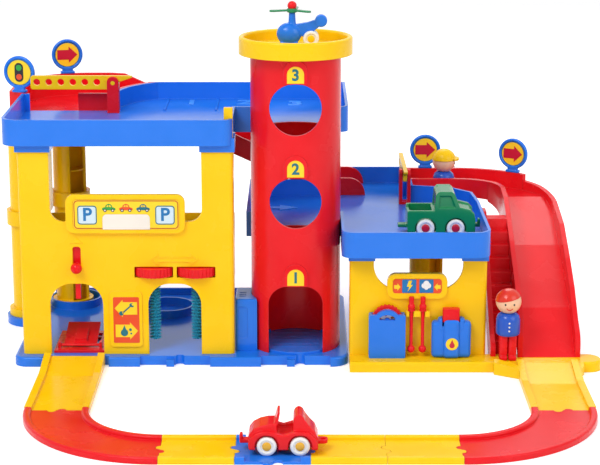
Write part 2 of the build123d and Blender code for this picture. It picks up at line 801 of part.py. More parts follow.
def repair_lever():
    z = lever_slot_bottom + lever_knob + 0.6
    inner = facade_front + facade_wall + running_gap
    body = ball(lever_x, facade_front - 7, z, lever_knob)
    body += rod((lever_x, facade_front - 7, z), (lever_x, inner + 2, z), lever_stem)
    body += block((lever_x - 6, lever_x + 6), (inner, inner + 5), (z - 7, lever_slot_top + 3))
    return body + block((lever_x - 3, lever_x + 3), (inner + 1, inner + 4), (shelf_level - 20, z))


# ---------------------------------------------------------------- wash bay

def wash_wheel(x):
    face = ridged_disc(wash_wheel_radius, 30, 1.3)
    body = plate(Pos(x, wash_wheel_y) * face, (wheel_level, wheel_level + wash_wheel_height))
    return body + post(x, wash_wheel_y, (brush_lift + brush_height, wheel_level), wash_shaft)


def wash_brush(x):
    face = ridged_disc(brush_radius, 12, 0.9)
    return plate(Pos(x, wash_wheel_y) * face, (brush_lift, brush_lift + brush_height))


def wash_wheel_left():
    return wash_wheel(wash_left_x)


def wash_wheel_right():
    return wash_wheel(wash_right_x)


def wash_brush_left():
    return wash_brush(wash_left_x)


def wash_brush_right():
    return wash_brush(wash_right_x)


# ---------------------------------------------------------------- barriers

boom_thick = 5.0
boom_height = 16.5
boom_pin = 2.5
barrier_gap = 0.6
upper_pivot = (-220.5, deck_three_gate - 11, deck_three_level + 36.5)
upper_boom_reach = 99.5
lower_pivot = (136.0, 168.0, deck_two_level + 36.5)
lower_boom_reach = 101.0


def boom(reach):
    # Lies along +X from its pivot at the origin, stands in X and Z.
    face = rect((-7, reach), (-boom_height / 2, boom_height / 2), 3)
    face += area((-23, 6), (-23, 8), (-5, boom_height / 2), (-5, 0))
    for k in range(6):
        face -= Pos(reach - 7.5 - 14.5 * k, 0.5) * Circle(4.1)
    body = front(face, (-boom_thick / 2, boom_thick / 2))
    half = boom_thick / 2 + barrier_gap + 4
    return body + rod((0, -half, 0), (0, half, 0), boom_pin)


def barrier_post(foot, pivot):
    # Two cheeks on a foot, with a bored boss for the boom's pin.
    height = pivot - foot
    inner = boom_thick / 2 + barrier_gap
    body = block((-7, 7), (-inner - 4, inner + 4), (-height, -height + 3))
    for y in ((-inner - 4, -inner), (inner, inner + 4)):
        cheek = front(arch((-7, 7), (-height, 7.5), 6.5), y)
        body += cheek
    return body - rod((0, -20, 0), (0, 20, 0), boom_pin + shaft_gap)


def barrier_boom_upper():
    return Pos(*upper_pivot) * Rot(0, 0, 180) * boom(upper_boom_reach)


def barrier_post_upper():
    return Pos(*upper_pivot) * barrier_post(deck_three_level, upper_pivot[2])


def barrier_boom_lower():
    return Pos(*lower_pivot) * Rot(0, 0, 90) * boom(lower_boom_reach)


def barrier_post_lower():
    return Pos(*lower_pivot) * Rot(0, 0, 90) * barrier_post(deck_two_level, lower_pivot[2])


# ---------------------------------------------------------------- track

def rail_section():
    half = track_width / 2
    face = area((-half, 0), (-half, track_rail_height), (-half + track_rail_width, track_rail_height),
                (-half + track_rail_width, track_floor), (half - track_rail_width, track_floor),
                (half - track_rail_width, track_rail_height), (half, track_rail_height), (half, 0))
    top = [v for v in face.vertices() if v.Y > track_rail_height - 0.1]
    return fillet(top, 2.4)


def joined(body, ends, height):
    # Notch and tab at each end; an end is x, y and the heading out of the piece.
    for x, y, heading in ends:
        body -= connector(x, y, heading, height, True)
    for x, y, heading in ends:
        body += connector(x, y, heading, track_floor, False)
    return body


def straight(count):
    start = track_start_x + count * track_unit
    end = start + track_unit - fit_gap
    body = side(rail_section(), (start, end))
    body = Pos(0, track_row_y, 0) * body
    return joined(body, [(start, track_row_y, 180), (end, track_row_y, 0)], track_floor)


def track_straight_1():
    return straight(0)


def track_crossing():
    # A crossroads: the front row's track with a second road across it.
    start = track_start_x + track_unit
    end = start + track_unit - fit_gap
    body = Pos(0, track_row_y, 0) * side(rail_section(), (start, end))
    lane_half = track_unit / 2 - 10
    middle = (start + end) / 2
    across = (middle - lane_half, middle + lane_half)
    body -= block(across, (track_row_y - 50, track_row_y + 50), (track_floor, 20))
    ends = [(start, track_row_y, 180), (end, track_row_y, 0),
            (middle, track_row_y - track_width / 2, 270), (middle, track_row_y + track_width / 2, 90)]
    return joined(body, ends, track_floor)


def track_straight_2():
    return straight(2)


def track_straight_3():
    return straight(3)


def curve(x, turn):
    # A quarter turn from the front row towards the garage.
    middle_y = track_row_y + track_turn
    section = Plane((x, middle_y, 0), (0, 1, 0), (1, 0, 0)) * Pos(-track_turn, 0) * rail_section()
    body = revolve(section, Axis((x, middle_y, 0), (0, 0, 1)), turn)
    return body


right_curve_x = track_start_x + 4 * track_unit
row_end = track_row_y + track_turn


def track_curve_left():
    body = curve(track_start_x - fit_gap, -90)
    return joined(body, [(track_start_x - fit_gap, track_row_y, 0), (track_start_x - fit_gap - track_turn, row_end, 90)],
                  track_floor)


def track_curve_right():
    body = curve(right_curve_x, 90)
    return joined(body, [(right_curve_x, track_row_y, 180), (right_curve_x + track_turn, row_end, 90)], track_floor)


def entry(x, end, lift, foot):
    # A road that climbs from the track to the base, flared at its end if a foot is given.
    half = track_width / 2
    start = row_end + fit_gap
    slope = 50
    floor = area((start, 0), (start, track_floor), (end - slope, track_floor), (end, lift), (end, 0))
    rail = area((start, 0), (start, track_rail_height), (end - slope, track_rail_height),
                (end, lift + 4), (end, 0))
    body = side(floor, (x - half, x + half))
    for edge in (x - half, x + half - track_rail_width):
        bar = side(rail, (edge, edge + track_rail_width))
        body += bar
    if foot:
        flare = area((foot[0], end), (foot[1], end), (foot[1], end - 8), (x + half, end - 20),
                     (x - half, end - 24), (foot[0], end - 8))
        body += plate(flare, (0, 60)) & side(floor, (foot[0] - 1, foot[1] + 1))
        edge = area((foot[0], end), (foot[0], end - 8), (x - half, end - 24), (x - half + 5, end - 18), (foot[0] + 6, end))
        body += plate(edge, (0, 60)) & side(rail, (foot[0] - 1, foot[1] + 1))
    return body


def track_entry_left():
    x = track_start_x - fit_gap - track_turn
    end = base_front + recess_depth - fit_gap
    return joined(entry(x, end, base_height, None), [(x, row_end + fit_gap, 270)], track_floor)


def track_entry_right():
    x = right_curve_x + track_turn
    end = station_front - fit_gap
    return joined(entry(x, end, station_base_height, (226, 329)), [(x, row_end + fit_gap, 270)], track_floor)


# ---------------------------------------------------------------- signs

sign_radius = 20.0
sign_face = 16.2


def sign(x, y, foot, turn):
    body = block((-9, 9), (-3.5, 3.5), (0, 3)) + block((-7, 7), (-2.5, 2.5), (0, 9))
    body += Pos(0, 0, 24.5) * Rot(90, 0, 0) * Cylinder(sign_radius, 5)
    body -= Pos(0, -2.5, 24.5) * Rot(90, 0, 0) * Cylinder(sign_face, 1.6)
    return Pos(x, y, foot) * Rot(0, 0, turn) * body


def sign_traffic_light():
    return sign(-336.3, 134.3, upper_road_level + upper_road_wall, -15)


def sign_arrow_1():
    return sign(-295.7, 280.0, upper_road_level + upper_road_wall, 15)


def sign_arrow_2():
    return sign(169, turn_y + turn_inner + road_width - road_wall / 2, link_wall_top, 0)


def sign_arrow_3():
    middle = turn_inner + road_width - road_wall / 2
    turn = radians(joint_angle + 9)
    return sign(turn_x + middle * cos(turn), turn_y + middle * sin(turn), link_wall_top, -30)


# ---------------------------------------------------------------- vehicles

def wheel_pair(x, y, z, radius, outer, inner):
    # Two wheels on one axle along Y.
    body = rod((x, y - outer + 1, z), (x, y + outer - 1, z), axle_radius)
    for way in (-1, 1):
        near = y + way * inner
        far = y + way * outer
        wheel = rod((x, near, z), (x, far, z), radius)
        wheel -= rod((x, far - way * 1, z), (x, far + way, z), radius * 0.62)
        wheel += rod((x, far - way * 2, z), (x, far, z), radius * 0.3)
        body += wheel
    return body


def drop_axles(body, wheels, y, z, radius, inner):
    # Wheel housings and axle bores in a vehicle's body.
    for x in wheels:
        body -= rod((x, y - 60, z), (x, y + 60, z), axle_radius + shaft_gap)
        for way in (-1, 1):
            body -= rod((x, y + way * (inner - running_gap), z), (x, y + way * 60, z), radius + 1.5)
    return body


car_y = track_row_y
car_wheels_x = (-28.3, 5.0)
car_wheel_z = track_floor + car_wheel + shaft_gap
car_half = 21.0
car_inner = 15.5


def car_body():
    z = track_floor
    profile = area((-47.6, z + 6), (-47.6, z + 20), (-43, z + 25), (-20, z + 29), (20, z + 29), (23.7, z + 24),
                   (23.7, z + 6))
    body = front(profile, (car_y - car_half, car_y + car_half))
    body -= block((-13, 13), (car_y - 15, car_y + 15), (z + 14, z + 60))
    screen = area((-21, z + 28), (-14, z + 46), (-11, z + 46), (-16, z + 28))
    body += front(screen, (car_y - 15, car_y + 15))
    seat = block((12, 17), (car_y - 12, car_y + 12), (z + 20, z + 44))
    body += fillet(seat.edges().filter_by(Axis.X).group_by(Axis.Z)[-1], 5)
    body += block((-56, -46), (car_y - 4, car_y + 4), (z + 8, z + 13))
    body += block((-56, -53), (car_y - 4, car_y + 4), (z + 8, z + 18))
    body += block((22, 33), (car_y - 6, car_y + 6), (z + 8, z + 12))
    body -= post(28, car_y, (z, z + 30), 2.6)
    return drop_axles(body, car_wheels_x, car_y, car_wheel_z, car_wheel, car_inner)


def car_front_wheels():
    return wheel_pair(car_wheels_x[0], car_y, car_wheel_z, car_wheel, car_half - 0.5, car_inner)


def car_rear_wheels():
    return wheel_pair(car_wheels_x[1], car_y, car_wheel_z, car_wheel, car_half - 0.5, car_inner)


truck_y = 12.0
truck_wheels_x = (151.0, 186.0)
truck_wheel_z = deck_two_level + truck_wheel + shaft_gap
truck_half = 22.0
truck_inner = 16.5


def truck_body():
    z = deck_two_level
    profile = area((129.5, z + 6), (129.5, z + 32), (161, z + 32), (161, z + 53), (166, z + 58), (183, z + 58),
                   (191, z + 34), (205, z + 31), (209, z + 24), (209, z + 6))
    body = front(profile, (truck_y - truck_half, truck_y + truck_half))
    body -= block((133, 158), (truck_y - 18, truck_y + 18), (z + 16, z + 60))
    body -= block((165, 195), (truck_y - 18, truck_y + 18), (z + 33, z + 53))
    body -= front(area((164, z + 34), (164, z + 52), (182, z + 52), (187, z + 34)),
                  (truck_y - 30, truck_y + 30))
    body += block((119, 131), (truck_y - 6, truck_y + 6), (z + 8, z + 12))
    body -= post(124, truck_y, (z, z + 30), 2.6)
    body += block((208, 216), (truck_y - 4, truck_y + 4), (z + 8, z + 13))
    body += block((213, 216), (truck_y - 4, truck_y + 4), (z + 8, z + 18))
    return drop_axles(body, truck_wheels_x, truck_y, truck_wheel_z, truck_wheel, truck_inner)


def truck_front_wheels():
    return wheel_pair(truck_wheels_x[1], truck_y, truck_wheel_z, truck_wheel, truck_half - 0.5, truck_inner)


def truck_rear_wheels():
    return wheel_pair(truck_wheels_x[0], truck_y, truck_wheel_z, truck_wheel, truck_half - 0.5, truck_inner)


# ---------------------------------------------------------------- helicopter

pad_floor = tower_height + 6.0
rotor_z = pad_floor + 41.0
copter_wheel_x = 17.5
copter_half = 13.0
copter_axle_z = pad_floor + copter_wheel + shaft_gap
mast_radius = 2.2


def helicopter_body():
    z = pad_floor
    cabin = front(Pos(-7.5, z + 14) * Ellipse(14.5, 13), (-11, 11))
    cabin = fillet(cabin.edges(), 6)
    body = cabin + block((-18, 3), (-8, 8), (z, z + 6))
    boom_face = area((2, z + 12), (2, z + 26), (24, z + 30), (30, z + 30), (30, z + 24), (14, z + 12))
    body += front(boom_face, (-4, 4))
    body += rod((29, -4.5, z + 29), (29, 4.5, z + 29), 7)
    body += front(Pos(copter_wheel_x, z + 12) * Circle(5), (-4, 4))
    body += post(-4, 0, (z + 20, rotor_z - 3), 4)
    body += post(-4, 0, (rotor_z - 4, rotor_z + 4), mast_radius)
    height = copter_axle_z
    return body - rod((copter_wheel_x, -9, height), (copter_wheel_x, 9, height), axle_radius + shaft_gap)


def helicopter_rotor():
    middle = rotor_z
    body = post(-4, 0, (middle - 2.5, middle + 2), 6)
    for k in range(3):
        blade = rect((3, 27), (-3.2, 3.2), 2.5)
        blade = plate(blade, (middle - 1, middle + 1))
        body += Pos(-4, 0, 0) * Rot(0, 0, 80 + 120 * k) * blade
    body += ball(-4, 0, middle + 5, 5.3)
    return body - post(-4, 0, (middle - 3, middle + 4.5), mast_radius + shaft_gap)


def helicopter_wheels():
    return wheel_pair(copter_wheel_x, 0, copter_axle_z, copter_wheel, copter_half - 4, 4.6)


# ---------------------------------------------------------------- figures

figure_coat = 14.0
figure_head = 14.5
figure_legs = 30.0
seat_x = 190.0
seat_y = 236.0


def torso():
    # Coat and head, from the waist up.
    coat = Pos(0, 0, 13) * Cylinder(figure_coat, 26)
    coat = fillet(coat.edges().group_by(Axis.Z)[-1], 6)
    coat = fillet(coat.edges().group_by(Axis.Z)[0], 2)
    return coat + Pos(0, 0, 26 + figure_head - 1.5) * Sphere(figure_head)


def figure_helmet():
    # Sits on the road with its legs forward, facing along the front.
    legs = block((-8, 26), (-9.5, 9.5), (0, 10))
    legs = fillet(legs.edges().filter_by(Axis.Y), 3)
    legs -= block((12, 30), (-1.2, 1.2), (-1, 20))
    head = 26 + figure_head - 1.5
    peak = post(0, 0, (head + 2, head + 4), figure_head + 5)
    peak &= block((2, 40), (-11, 11), (head, head + 10))
    helmet = Pos(0, 0, head + 0.5) * Sphere(figure_head + 1.2)
    helmet &= block((-20, 20), (-20, 20), (head + 2, head + 30))
    return Pos(seat_x, seat_y, deck_two_level) * (legs + Pos(0, 0, 1) * (torso() + helmet + peak))


def figure_redhair():
    # Stands at the foot of the stairs.
    legs = block((-9.8, 9.8), (-7, 7), (0, figure_legs + 1))
    legs = fillet(legs.edges().filter_by(Axis.Z), 5)
    legs -= block((-1.2, 1.2), (-9, 9), (-1, 20))
    body = legs + Pos(0, 0, figure_legs) * torso()
    return Pos(stairs_left + stairs_width / 2, ramp_foot - 5.5, station_base_height) * body


# ---------------------------------------------------------------- write the parts

pieces = [
    garage_base, rear_column_lower, rear_column_upper, garage_facade, deck_three, deck_two, upper_curve, upper_ramp,
    road_link, lower_ramp, ramp_stairs, tower_shell, lift_platform, helipad, hoist_housing, hoist_crank,
    station_base, station_wall, station_rear_column, pump_cabinet, pump_dial, nozzle_air, nozzle_water, oil_can,
    can_button, repair_frame, repair_ramp, repair_lever, wash_wheel_left, wash_wheel_right, wash_brush_left,
    wash_brush_right, barrier_post_upper, barrier_boom_upper, barrier_post_lower, barrier_boom_lower,
    track_entry_left, track_curve_left, track_straight_1, track_crossing, track_straight_2, track_straight_3,
    track_curve_right, track_entry_right, sign_traffic_light, sign_arrow_1, sign_arrow_2, sign_arrow_3,
    car_body, car_front_wheels, car_rear_wheels, truck_body, truck_front_wheels, truck_rear_wheels,
    helicopter_body, helicopter_rotor, helicopter_wheels, figure_helmet, figure_redhair]

os.makedirs("parts", exist_ok=True)
for piece in pieces:
    export_step(piece(), "parts/" + piece.__name__ + ".step")
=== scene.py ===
import json
import math
import bpy
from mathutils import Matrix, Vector


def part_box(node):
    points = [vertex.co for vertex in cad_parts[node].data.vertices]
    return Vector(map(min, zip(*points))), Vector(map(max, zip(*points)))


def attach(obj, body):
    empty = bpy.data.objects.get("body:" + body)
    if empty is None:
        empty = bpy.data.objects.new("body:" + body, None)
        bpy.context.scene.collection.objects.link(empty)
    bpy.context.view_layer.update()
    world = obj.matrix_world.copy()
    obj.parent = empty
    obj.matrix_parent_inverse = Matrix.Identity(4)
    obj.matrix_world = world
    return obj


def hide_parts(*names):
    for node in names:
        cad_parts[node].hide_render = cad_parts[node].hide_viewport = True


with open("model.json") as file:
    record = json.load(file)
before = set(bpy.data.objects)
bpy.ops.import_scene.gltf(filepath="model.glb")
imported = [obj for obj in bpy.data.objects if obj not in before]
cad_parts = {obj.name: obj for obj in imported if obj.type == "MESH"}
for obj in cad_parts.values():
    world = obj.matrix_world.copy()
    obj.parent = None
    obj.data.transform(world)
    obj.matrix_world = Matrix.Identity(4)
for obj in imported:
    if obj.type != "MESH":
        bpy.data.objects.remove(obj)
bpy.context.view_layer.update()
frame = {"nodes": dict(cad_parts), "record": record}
nodes = frame["nodes"]
mm = 0.001
print("garage: frame loaded")


# ---- small helpers for modelling by hand

def clearSelection():
    if bpy.context.mode != "OBJECT":
        bpy.ops.object.mode_set(mode="OBJECT")
    bpy.ops.object.select_all(action="DESELECT")


def pick(*objects):
    clearSelection()
    for obj in objects:
        obj.select_set(True)
    bpy.context.view_layer.objects.active = objects[0]


def place(obj, spot=(0, 0, 0), turn=(0, 0, 0), scale=(1, 1, 1)):
    # moves a piece to its spot in millimetres and bakes that into its mesh
    pick(obj)
    obj.location = Vector(spot) * mm
    obj.rotation_euler = [math.radians(angle) for angle in turn]
    obj.scale = scale
    bpy.ops.object.transform_apply(location=True, rotation=True, scale=True)
    return obj


def applyAll(obj):
    pick(obj)
    for modifier in list(obj.modifiers):
        bpy.ops.object.modifier_apply(modifier=modifier.name)


def outward(obj):
    pick(obj)
    bpy.ops.object.mode_set(mode="EDIT")
    bpy.ops.mesh.select_all(action="SELECT")
    bpy.ops.mesh.remove_doubles(threshold=0.00002)
    bpy.ops.mesh.normals_make_consistent(inside=False)
    bpy.ops.object.mode_set(mode="OBJECT")
    return obj


def bevelled(obj, width, segments=2, angle=35):
    modifier = obj.modifiers.new("edges", "BEVEL")
    modifier.width = width * mm
    modifier.segments = segments
    modifier.limit_method = "ANGLE"
    modifier.angle_limit = math.radians(angle)
    applyAll(obj)
    return obj


def joined(*objects):
    pick(*objects)
    if len(objects) > 1:
        bpy.ops.object.join()
    return bpy.context.view_layer.objects.active


def piece(obj, name, body, material, smooth=35):
    # last step of every piece: its name, finish and the body it rides on
    pick(obj)
    bpy.ops.object.transform_apply(location=True, rotation=True, scale=True)
    bpy.ops.object.shade_smooth_by_angle(angle=math.radians(smooth))
    obj.name = name
    obj.data.name = name
    obj.data.materials.clear()
    obj.data.materials.append(material)
    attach(obj, body)
    return obj


def drawn(outlines, y, thick):
    # flat artwork drawn as closed lines in X and Z; its back lies at Y and it faces the front
    data = bpy.data.curves.new("drawing", "CURVE")
    data.dimensions = "2D"
    data.fill_mode = "BOTH"
    for outline in outlines:
        line = data.splines.new("POLY")
        line.points.add(len(outline) - 1)
        for point, (across, up) in zip(line.points, outline):
            point.co = (across * mm, up * mm, 0, 1)
        line.use_cyclic_u = True
    data.extrude = thick * mm / 2
    obj = bpy.data.objects.new("drawing", data)
    bpy.context.scene.collection.objects.link(obj)
    pick(obj)
    bpy.ops.object.convert(target="MESH")
    place(obj, (0, y - thick / 2, 0), (90, 0, 0))
    return outward(obj)


def roundedOutline(across, up, radius, corners="all", steps=6):
    # the line round a rectangle; corners can be all or top
    left, right = across
    bottom, top = up
    line = []
    for x, z, start in ((right, top, 0), (left, top, 90), (left, bottom, 180), (right, bottom, 270)):
        if corners == "top" and z == bottom:
            line.append((x, z))
            continue
        middleX = x - radius if x == right else x + radius
        middleZ = z - radius if z == top else z + radius
        for step in range(steps + 1):
            angle = math.radians(start + 90 * step / steps)
            line.append((middleX + radius * math.cos(angle), middleZ + radius * math.sin(angle)))
    return line


def roundOutline(x, z, radius, steps=40, stretch=1):
    turns = [2 * math.pi * step / steps for step in range(steps)]
    return [(x + radius * math.cos(turn), z + radius * stretch * math.sin(turn)) for turn in turns]


def arrowOutline(x, z, length, height, way=1, shaft=0.5, head=0.5):
    # an arrow pointing right, or left with way -1, round its middle
    tip = way * length / 2
    neck = way * (length / 2 - length * head)
    half = height / 2
    return [(x - tip, z - half * shaft), (x + neck, z - half * shaft), (x + neck, z - half), (x + tip, z),
            (x + neck, z + half), (x + neck, z + half * shaft), (x - tip, z + half * shaft)]


def numeral(text, spot, size, thick, turn=(90, 0, 0), bold=0.5):
    # raised or printed figures from a text object
    clearSelection()
    bpy.ops.object.text_add()
    obj = bpy.context.object
    obj.data.body = text
    obj.data.align_x = "CENTER"
    obj.data.align_y = "CENTER"
    obj.data.size = size * mm
    obj.data.extrude = thick * mm / 2
    obj.data.offset = bold * mm
    bpy.ops.object.convert(target="MESH")
    place(obj, spot, turn)
    return outward(obj)


def turned(rings, sides=48):
    # a lathe shape about Z: a circle extruded ring by ring, given as radius and height
    clearSelection()
    radius, height = rings[0]
    bpy.ops.mesh.primitive_circle_add(vertices=sides, radius=max(radius, 0.01) * mm, fill_type="NGON",
                                      location=(0, 0, height * mm))
    obj = bpy.context.object
    bpy.ops.object.transform_apply(location=True)
    bpy.ops.object.mode_set(mode="EDIT")
    bpy.ops.mesh.select_all(action="SELECT")
    for nextRadius, nextHeight in rings[1:]:
        rise = (0, 0, (nextHeight - height) * mm)
        bpy.ops.mesh.extrude_region_move(TRANSFORM_OT_translate={"value": rise})
        ratio = max(nextRadius, 0.01) / max(radius, 0.01)
        bpy.ops.transform.resize(value=(ratio, ratio, 1), center_override=(0, 0, nextHeight * mm))
        radius, height = nextRadius, nextHeight
    bpy.ops.object.mode_set(mode="OBJECT")
    return outward(obj)


def block(across, deep, up, edge=0.8, segments=2):
    # a moulded block from its limits in X, Y and Z, with rounded edges
    clearSelection()
    spot = [sum(pair) / 2 * mm for pair in (across, deep, up)]
    size = [(pair[1] - pair[0]) * mm for pair in (across, deep, up)]
    bpy.ops.mesh.primitive_cube_add(size=1, location=spot, scale=size)
    obj = bpy.context.object
    bpy.ops.object.transform_apply(location=True, rotation=True, scale=True)
    return bevelled(obj, edge, segments)


def skinned(obj, voxel):
    # one closed skin over joined shapes
    pick(obj)
    obj.data.remesh_voxel_size = voxel * mm
    bpy.ops.object.voxel_remesh()
    return obj


def softened(obj, voxel, rounds):
    # one skin over joined shapes, with the rounded edges of a moulding
    skinned(obj, voxel)
    modifier = obj.modifiers.new("soft", "SMOOTH")
    modifier.factor = 0.5
    modifier.iterations = rounds
    applyAll(obj)
    return obj


def duplicated(obj):
    copy = obj.copy()
    copy.data = obj.data.copy()
    bpy.context.scene.collection.objects.link(copy)
    return copy


# ---- camera, floor and light

view = {"spot": (0.005, -2.128, 0.67), "down": 13.86, "lens": 112.6}

cameraData = bpy.data.cameras.new("frontCamera")
camera = bpy.data.objects.new("frontCamera", cameraData)
bpy.context.scene.collection.objects.link(camera)
camera.location = view["spot"]
camera.rotation_euler = (math.radians(90 - view["down"]), 0, 0)
cameraData.lens = view["lens"]
cameraData.sensor_width = 36
bpy.context.scene.camera = camera
bpy.context.scene.view_settings.view_transform = "Standard"

studio = {
    "floorSize": 9.0, "floorTone": (0.93, 0.93, 0.94), "floorLift": 0.4, "skyStrength": 0.55,
    "key": {"spot": (-1.1, -1.5, 2.1), "size": 1.3, "power": 34},
    "fill": {"spot": (1.7, -1.3, 1.3), "size": 1.6, "power": 14},
    "back": {"spot": (0.2, 1.6, 1.9), "size": 1.4, "power": 16},
}


def seenRays(tree):
    # camera, mirror and glass rays all see the plain white backdrop
    path = tree.nodes.new("ShaderNodeLightPath")
    first = tree.nodes.new("ShaderNodeMath")
    first.operation = "MAXIMUM"
    second = tree.nodes.new("ShaderNodeMath")
    second.operation = "MAXIMUM"
    tree.links.new(path.outputs["Is Camera Ray"], first.inputs[0])
    tree.links.new(path.outputs["Is Glossy Ray"], first.inputs[1])
    tree.links.new(first.outputs[0], second.inputs[0])
    tree.links.new(path.outputs["Is Transmission Ray"], second.inputs[1])
    return second.outputs[0]


def paleFloor():
    clearSelection()
    bpy.ops.mesh.primitive_plane_add(size=studio["floorSize"], location=(0, 0, -0.0003))
    floor = bpy.context.object
    floor.name = "studioFloor"
    material = bpy.data.materials.new("paleFloor")
    material.use_nodes = True
    tree = material.node_tree
    shader = tree.nodes["Principled BSDF"]
    shader.inputs["Base Color"].default_value = (*studio["floorTone"], 1)
    shader.inputs["Roughness"].default_value = 0.7
    shader.inputs["Emission Color"].default_value = (1, 1, 1, 1)
    lift = tree.nodes.new("ShaderNodeMath")
    lift.operation = "MULTIPLY"
    lift.inputs[1].default_value = studio["floorLift"]
    tree.links.new(seenRays(tree), lift.inputs[0])
    tree.links.new(lift.outputs[0], shader.inputs["Emission Strength"])
    floor.data.materials.append(material)


def softLight(name, values):
    data = bpy.data.lights.new(name, "AREA")
    data.shape = "DISK"
    data.size = values["size"]
    data.energy = values["power"]
    lamp = bpy.data.objects.new(name, data)
    bpy.context.scene.collection.objects.link(lamp)
    lamp.location = values["spot"]
    aim = Vector((0, 0, 0.15)) - Vector(values["spot"])
    lamp.rotation_euler = aim.to_track_quat("-Z", "Y").to_euler()


def whiteSky():
    world = bpy.data.worlds.new("whiteSky")
    bpy.context.scene.world = world
    world.use_nodes = True
    tree = world.node_tree
    back = tree.nodes["Background"]
    back.inputs["Color"].default_value = (1, 1, 1, 1)
    spread = tree.nodes.new("ShaderNodeMapRange")
    spread.inputs["To Min"].default_value = studio["skyStrength"]
    spread.inputs["To Max"].default_value = 1.0
    tree.links.new(seenRays(tree), spread.inputs["Value"])
    tree.links.new(spread.outputs["Result"], back.inputs["Strength"])


paleFloor()
for lampName in ("key", "fill", "back"):
    softLight(lampName + "Light", studio[lampName])
whiteSky()
print("garage: studio ready")


# ---- finishes

def mouldedPlastic(name, colour, roughness=0.17, grain=0.012, edge=0.9, variation=0.02, gloss=0.38):
    # injection moulded plastic: faint clouding, a fine skin, and edges lightened in the base colour as a
    # painted highlight
    material = bpy.data.materials.new(name)
    material.use_nodes = True
    tree = material.node_tree
    shader = tree.nodes["Principled BSDF"]
    spots = tree.nodes.new("ShaderNodeTexCoord")
    cloud = tree.nodes.new("ShaderNodeTexNoise")
    cloud.inputs["Scale"].default_value = 22
    cloud.inputs["Detail"].default_value = 4
    tree.links.new(spots.outputs["Object"], cloud.inputs["Vector"])
    ramp = tree.nodes.new("ShaderNodeValToRGB")
    ramp.color_ramp.elements[0].position = 0.3
    ramp.color_ramp.elements[1].position = 0.7
    darker = [channel * (1 - variation) for channel in colour]
    lighter = [min(1, channel * (1 + variation) + 0.01) for channel in colour]
    ramp.color_ramp.elements[0].color = (*darker, 1)
    ramp.color_ramp.elements[1].color = (*lighter, 1)
    tree.links.new(cloud.outputs["Fac"], ramp.inputs["Fac"])
    rounding = tree.nodes.new("ShaderNodeBevel")
    rounding.samples = 4
    rounding.inputs["Radius"].default_value = edge * mm
    geometry = tree.nodes.new("ShaderNodeNewGeometry")
    facing = tree.nodes.new("ShaderNodeVectorMath")
    facing.operation = "DOT_PRODUCT"
    tree.links.new(rounding.outputs["Normal"], facing.inputs[0])
    tree.links.new(geometry.outputs["Normal"], facing.inputs[1])
    # painted highlight: the base colour turns paler where the rounded edge normal turns away from the face
    # normal
    edgeHighlight = tree.nodes.new("ShaderNodeMapRange")
    edgeHighlight.inputs["From Min"].default_value = 0.99
    edgeHighlight.inputs["From Max"].default_value = 0.8
    edgeHighlight.inputs["To Max"].default_value = 0.09
    tree.links.new(facing.outputs["Value"], edgeHighlight.inputs["Value"])
    highlightMix = tree.nodes.new("ShaderNodeMix")
    highlightMix.data_type = "RGBA"
    highlightTone = [channel + (1 - channel) * 0.35 for channel in colour]
    highlightMix.inputs[7].default_value = (*highlightTone, 1)
    tree.links.new(edgeHighlight.outputs["Result"], highlightMix.inputs[0])
    tree.links.new(ramp.outputs["Color"], highlightMix.inputs[6])
    tree.links.new(highlightMix.outputs[2], shader.inputs["Base Color"])
    skin = tree.nodes.new("ShaderNodeTexNoise")
    skin.inputs["Scale"].default_value = 1400
    skin.inputs["Detail"].default_value = 3
    tree.links.new(spots.outputs["Object"], skin.inputs["Vector"])
    bump = tree.nodes.new("ShaderNodeBump")
    bump.inputs["Strength"].default_value = grain * 4
    bump.inputs["Distance"].default_value = 0.0001
    tree.links.new(skin.outputs["Fac"], bump.inputs["Height"])
    tree.links.new(rounding.outputs["Normal"], bump.inputs["Normal"])
    tree.links.new(bump.outputs["Normal"], shader.inputs["Normal"])
    matt = tree.nodes.new("ShaderNodeMapRange")
    matt.inputs["From Min"].default_value = 0.3
    matt.inputs["From Max"].default_value = 0.7
    matt.inputs["To Min"].default_value = roughness - 0.04
    matt.inputs["To Max"].default_value = roughness + 0.06
    tree.links.new(cloud.outputs["Fac"], matt.inputs["Value"])
    tree.links.new(matt.outputs["Result"], shader.inputs["Roughness"])
    shader.inputs["Specular IOR Level"].default_value = gloss
    return material


finish = {
    "blue": mouldedPlastic("blueMoulding", (0.008, 0.18, 0.80), gloss=0.32),
    "raised": mouldedPlastic("raisedBlue", (0.06, 0.32, 0.95), roughness=0.25),
    "yellow": mouldedPlastic("yellowMoulding", (1.0, 0.60, 0.0), roughness=0.26, gloss=0.2),
    "red": mouldedPlastic("redMoulding", (0.80, 0.004, 0.01), roughness=0.24, gloss=0.2),
    "brush": mouldedPlastic("tealBristle", (0.0, 0.29, 0.47), roughness=0.5),
    "white": mouldedPlastic("whiteTyre", (0.86, 0.86, 0.83), roughness=0.35),
    "green": mouldedPlastic("greenMoulding", (0.0, 0.23, 0.075), roughness=0.18),
    "coat": mouldedPlastic("figureBlue", (0.01, 0.09, 0.55), roughness=0.2),
    "skin": mouldedPlastic("figureFace", (0.90, 0.56, 0.36), roughness=0.3),
    "hair": mouldedPlastic("figureHair", (0.72, 0.03, 0.01), roughness=0.2),
    "gold": mouldedPlastic("goldHub", (0.80, 0.42, 0.03), roughness=0.25),
}

slotFinish = {
    "blue_plastic": "blue", "yellow_plastic": "yellow", "red_plastic": "red", "teal_bristle": "brush",
    "white_plastic": "white", "green_plastic": "green", "figure_blue": "coat",
}

for subpart in frame["record"]["subparts"]:
    node = nodes[subpart["node"]]
    for index in range(max(1, len(node.data.materials))):
        if not node.data.materials:
            node.data.materials.append(None)
        node.data.materials[index] = finish[slotFinish[subpart["material_slot"]]]
print("garage: CAD nodes dressed")


# ---- printed stickers and raised figures

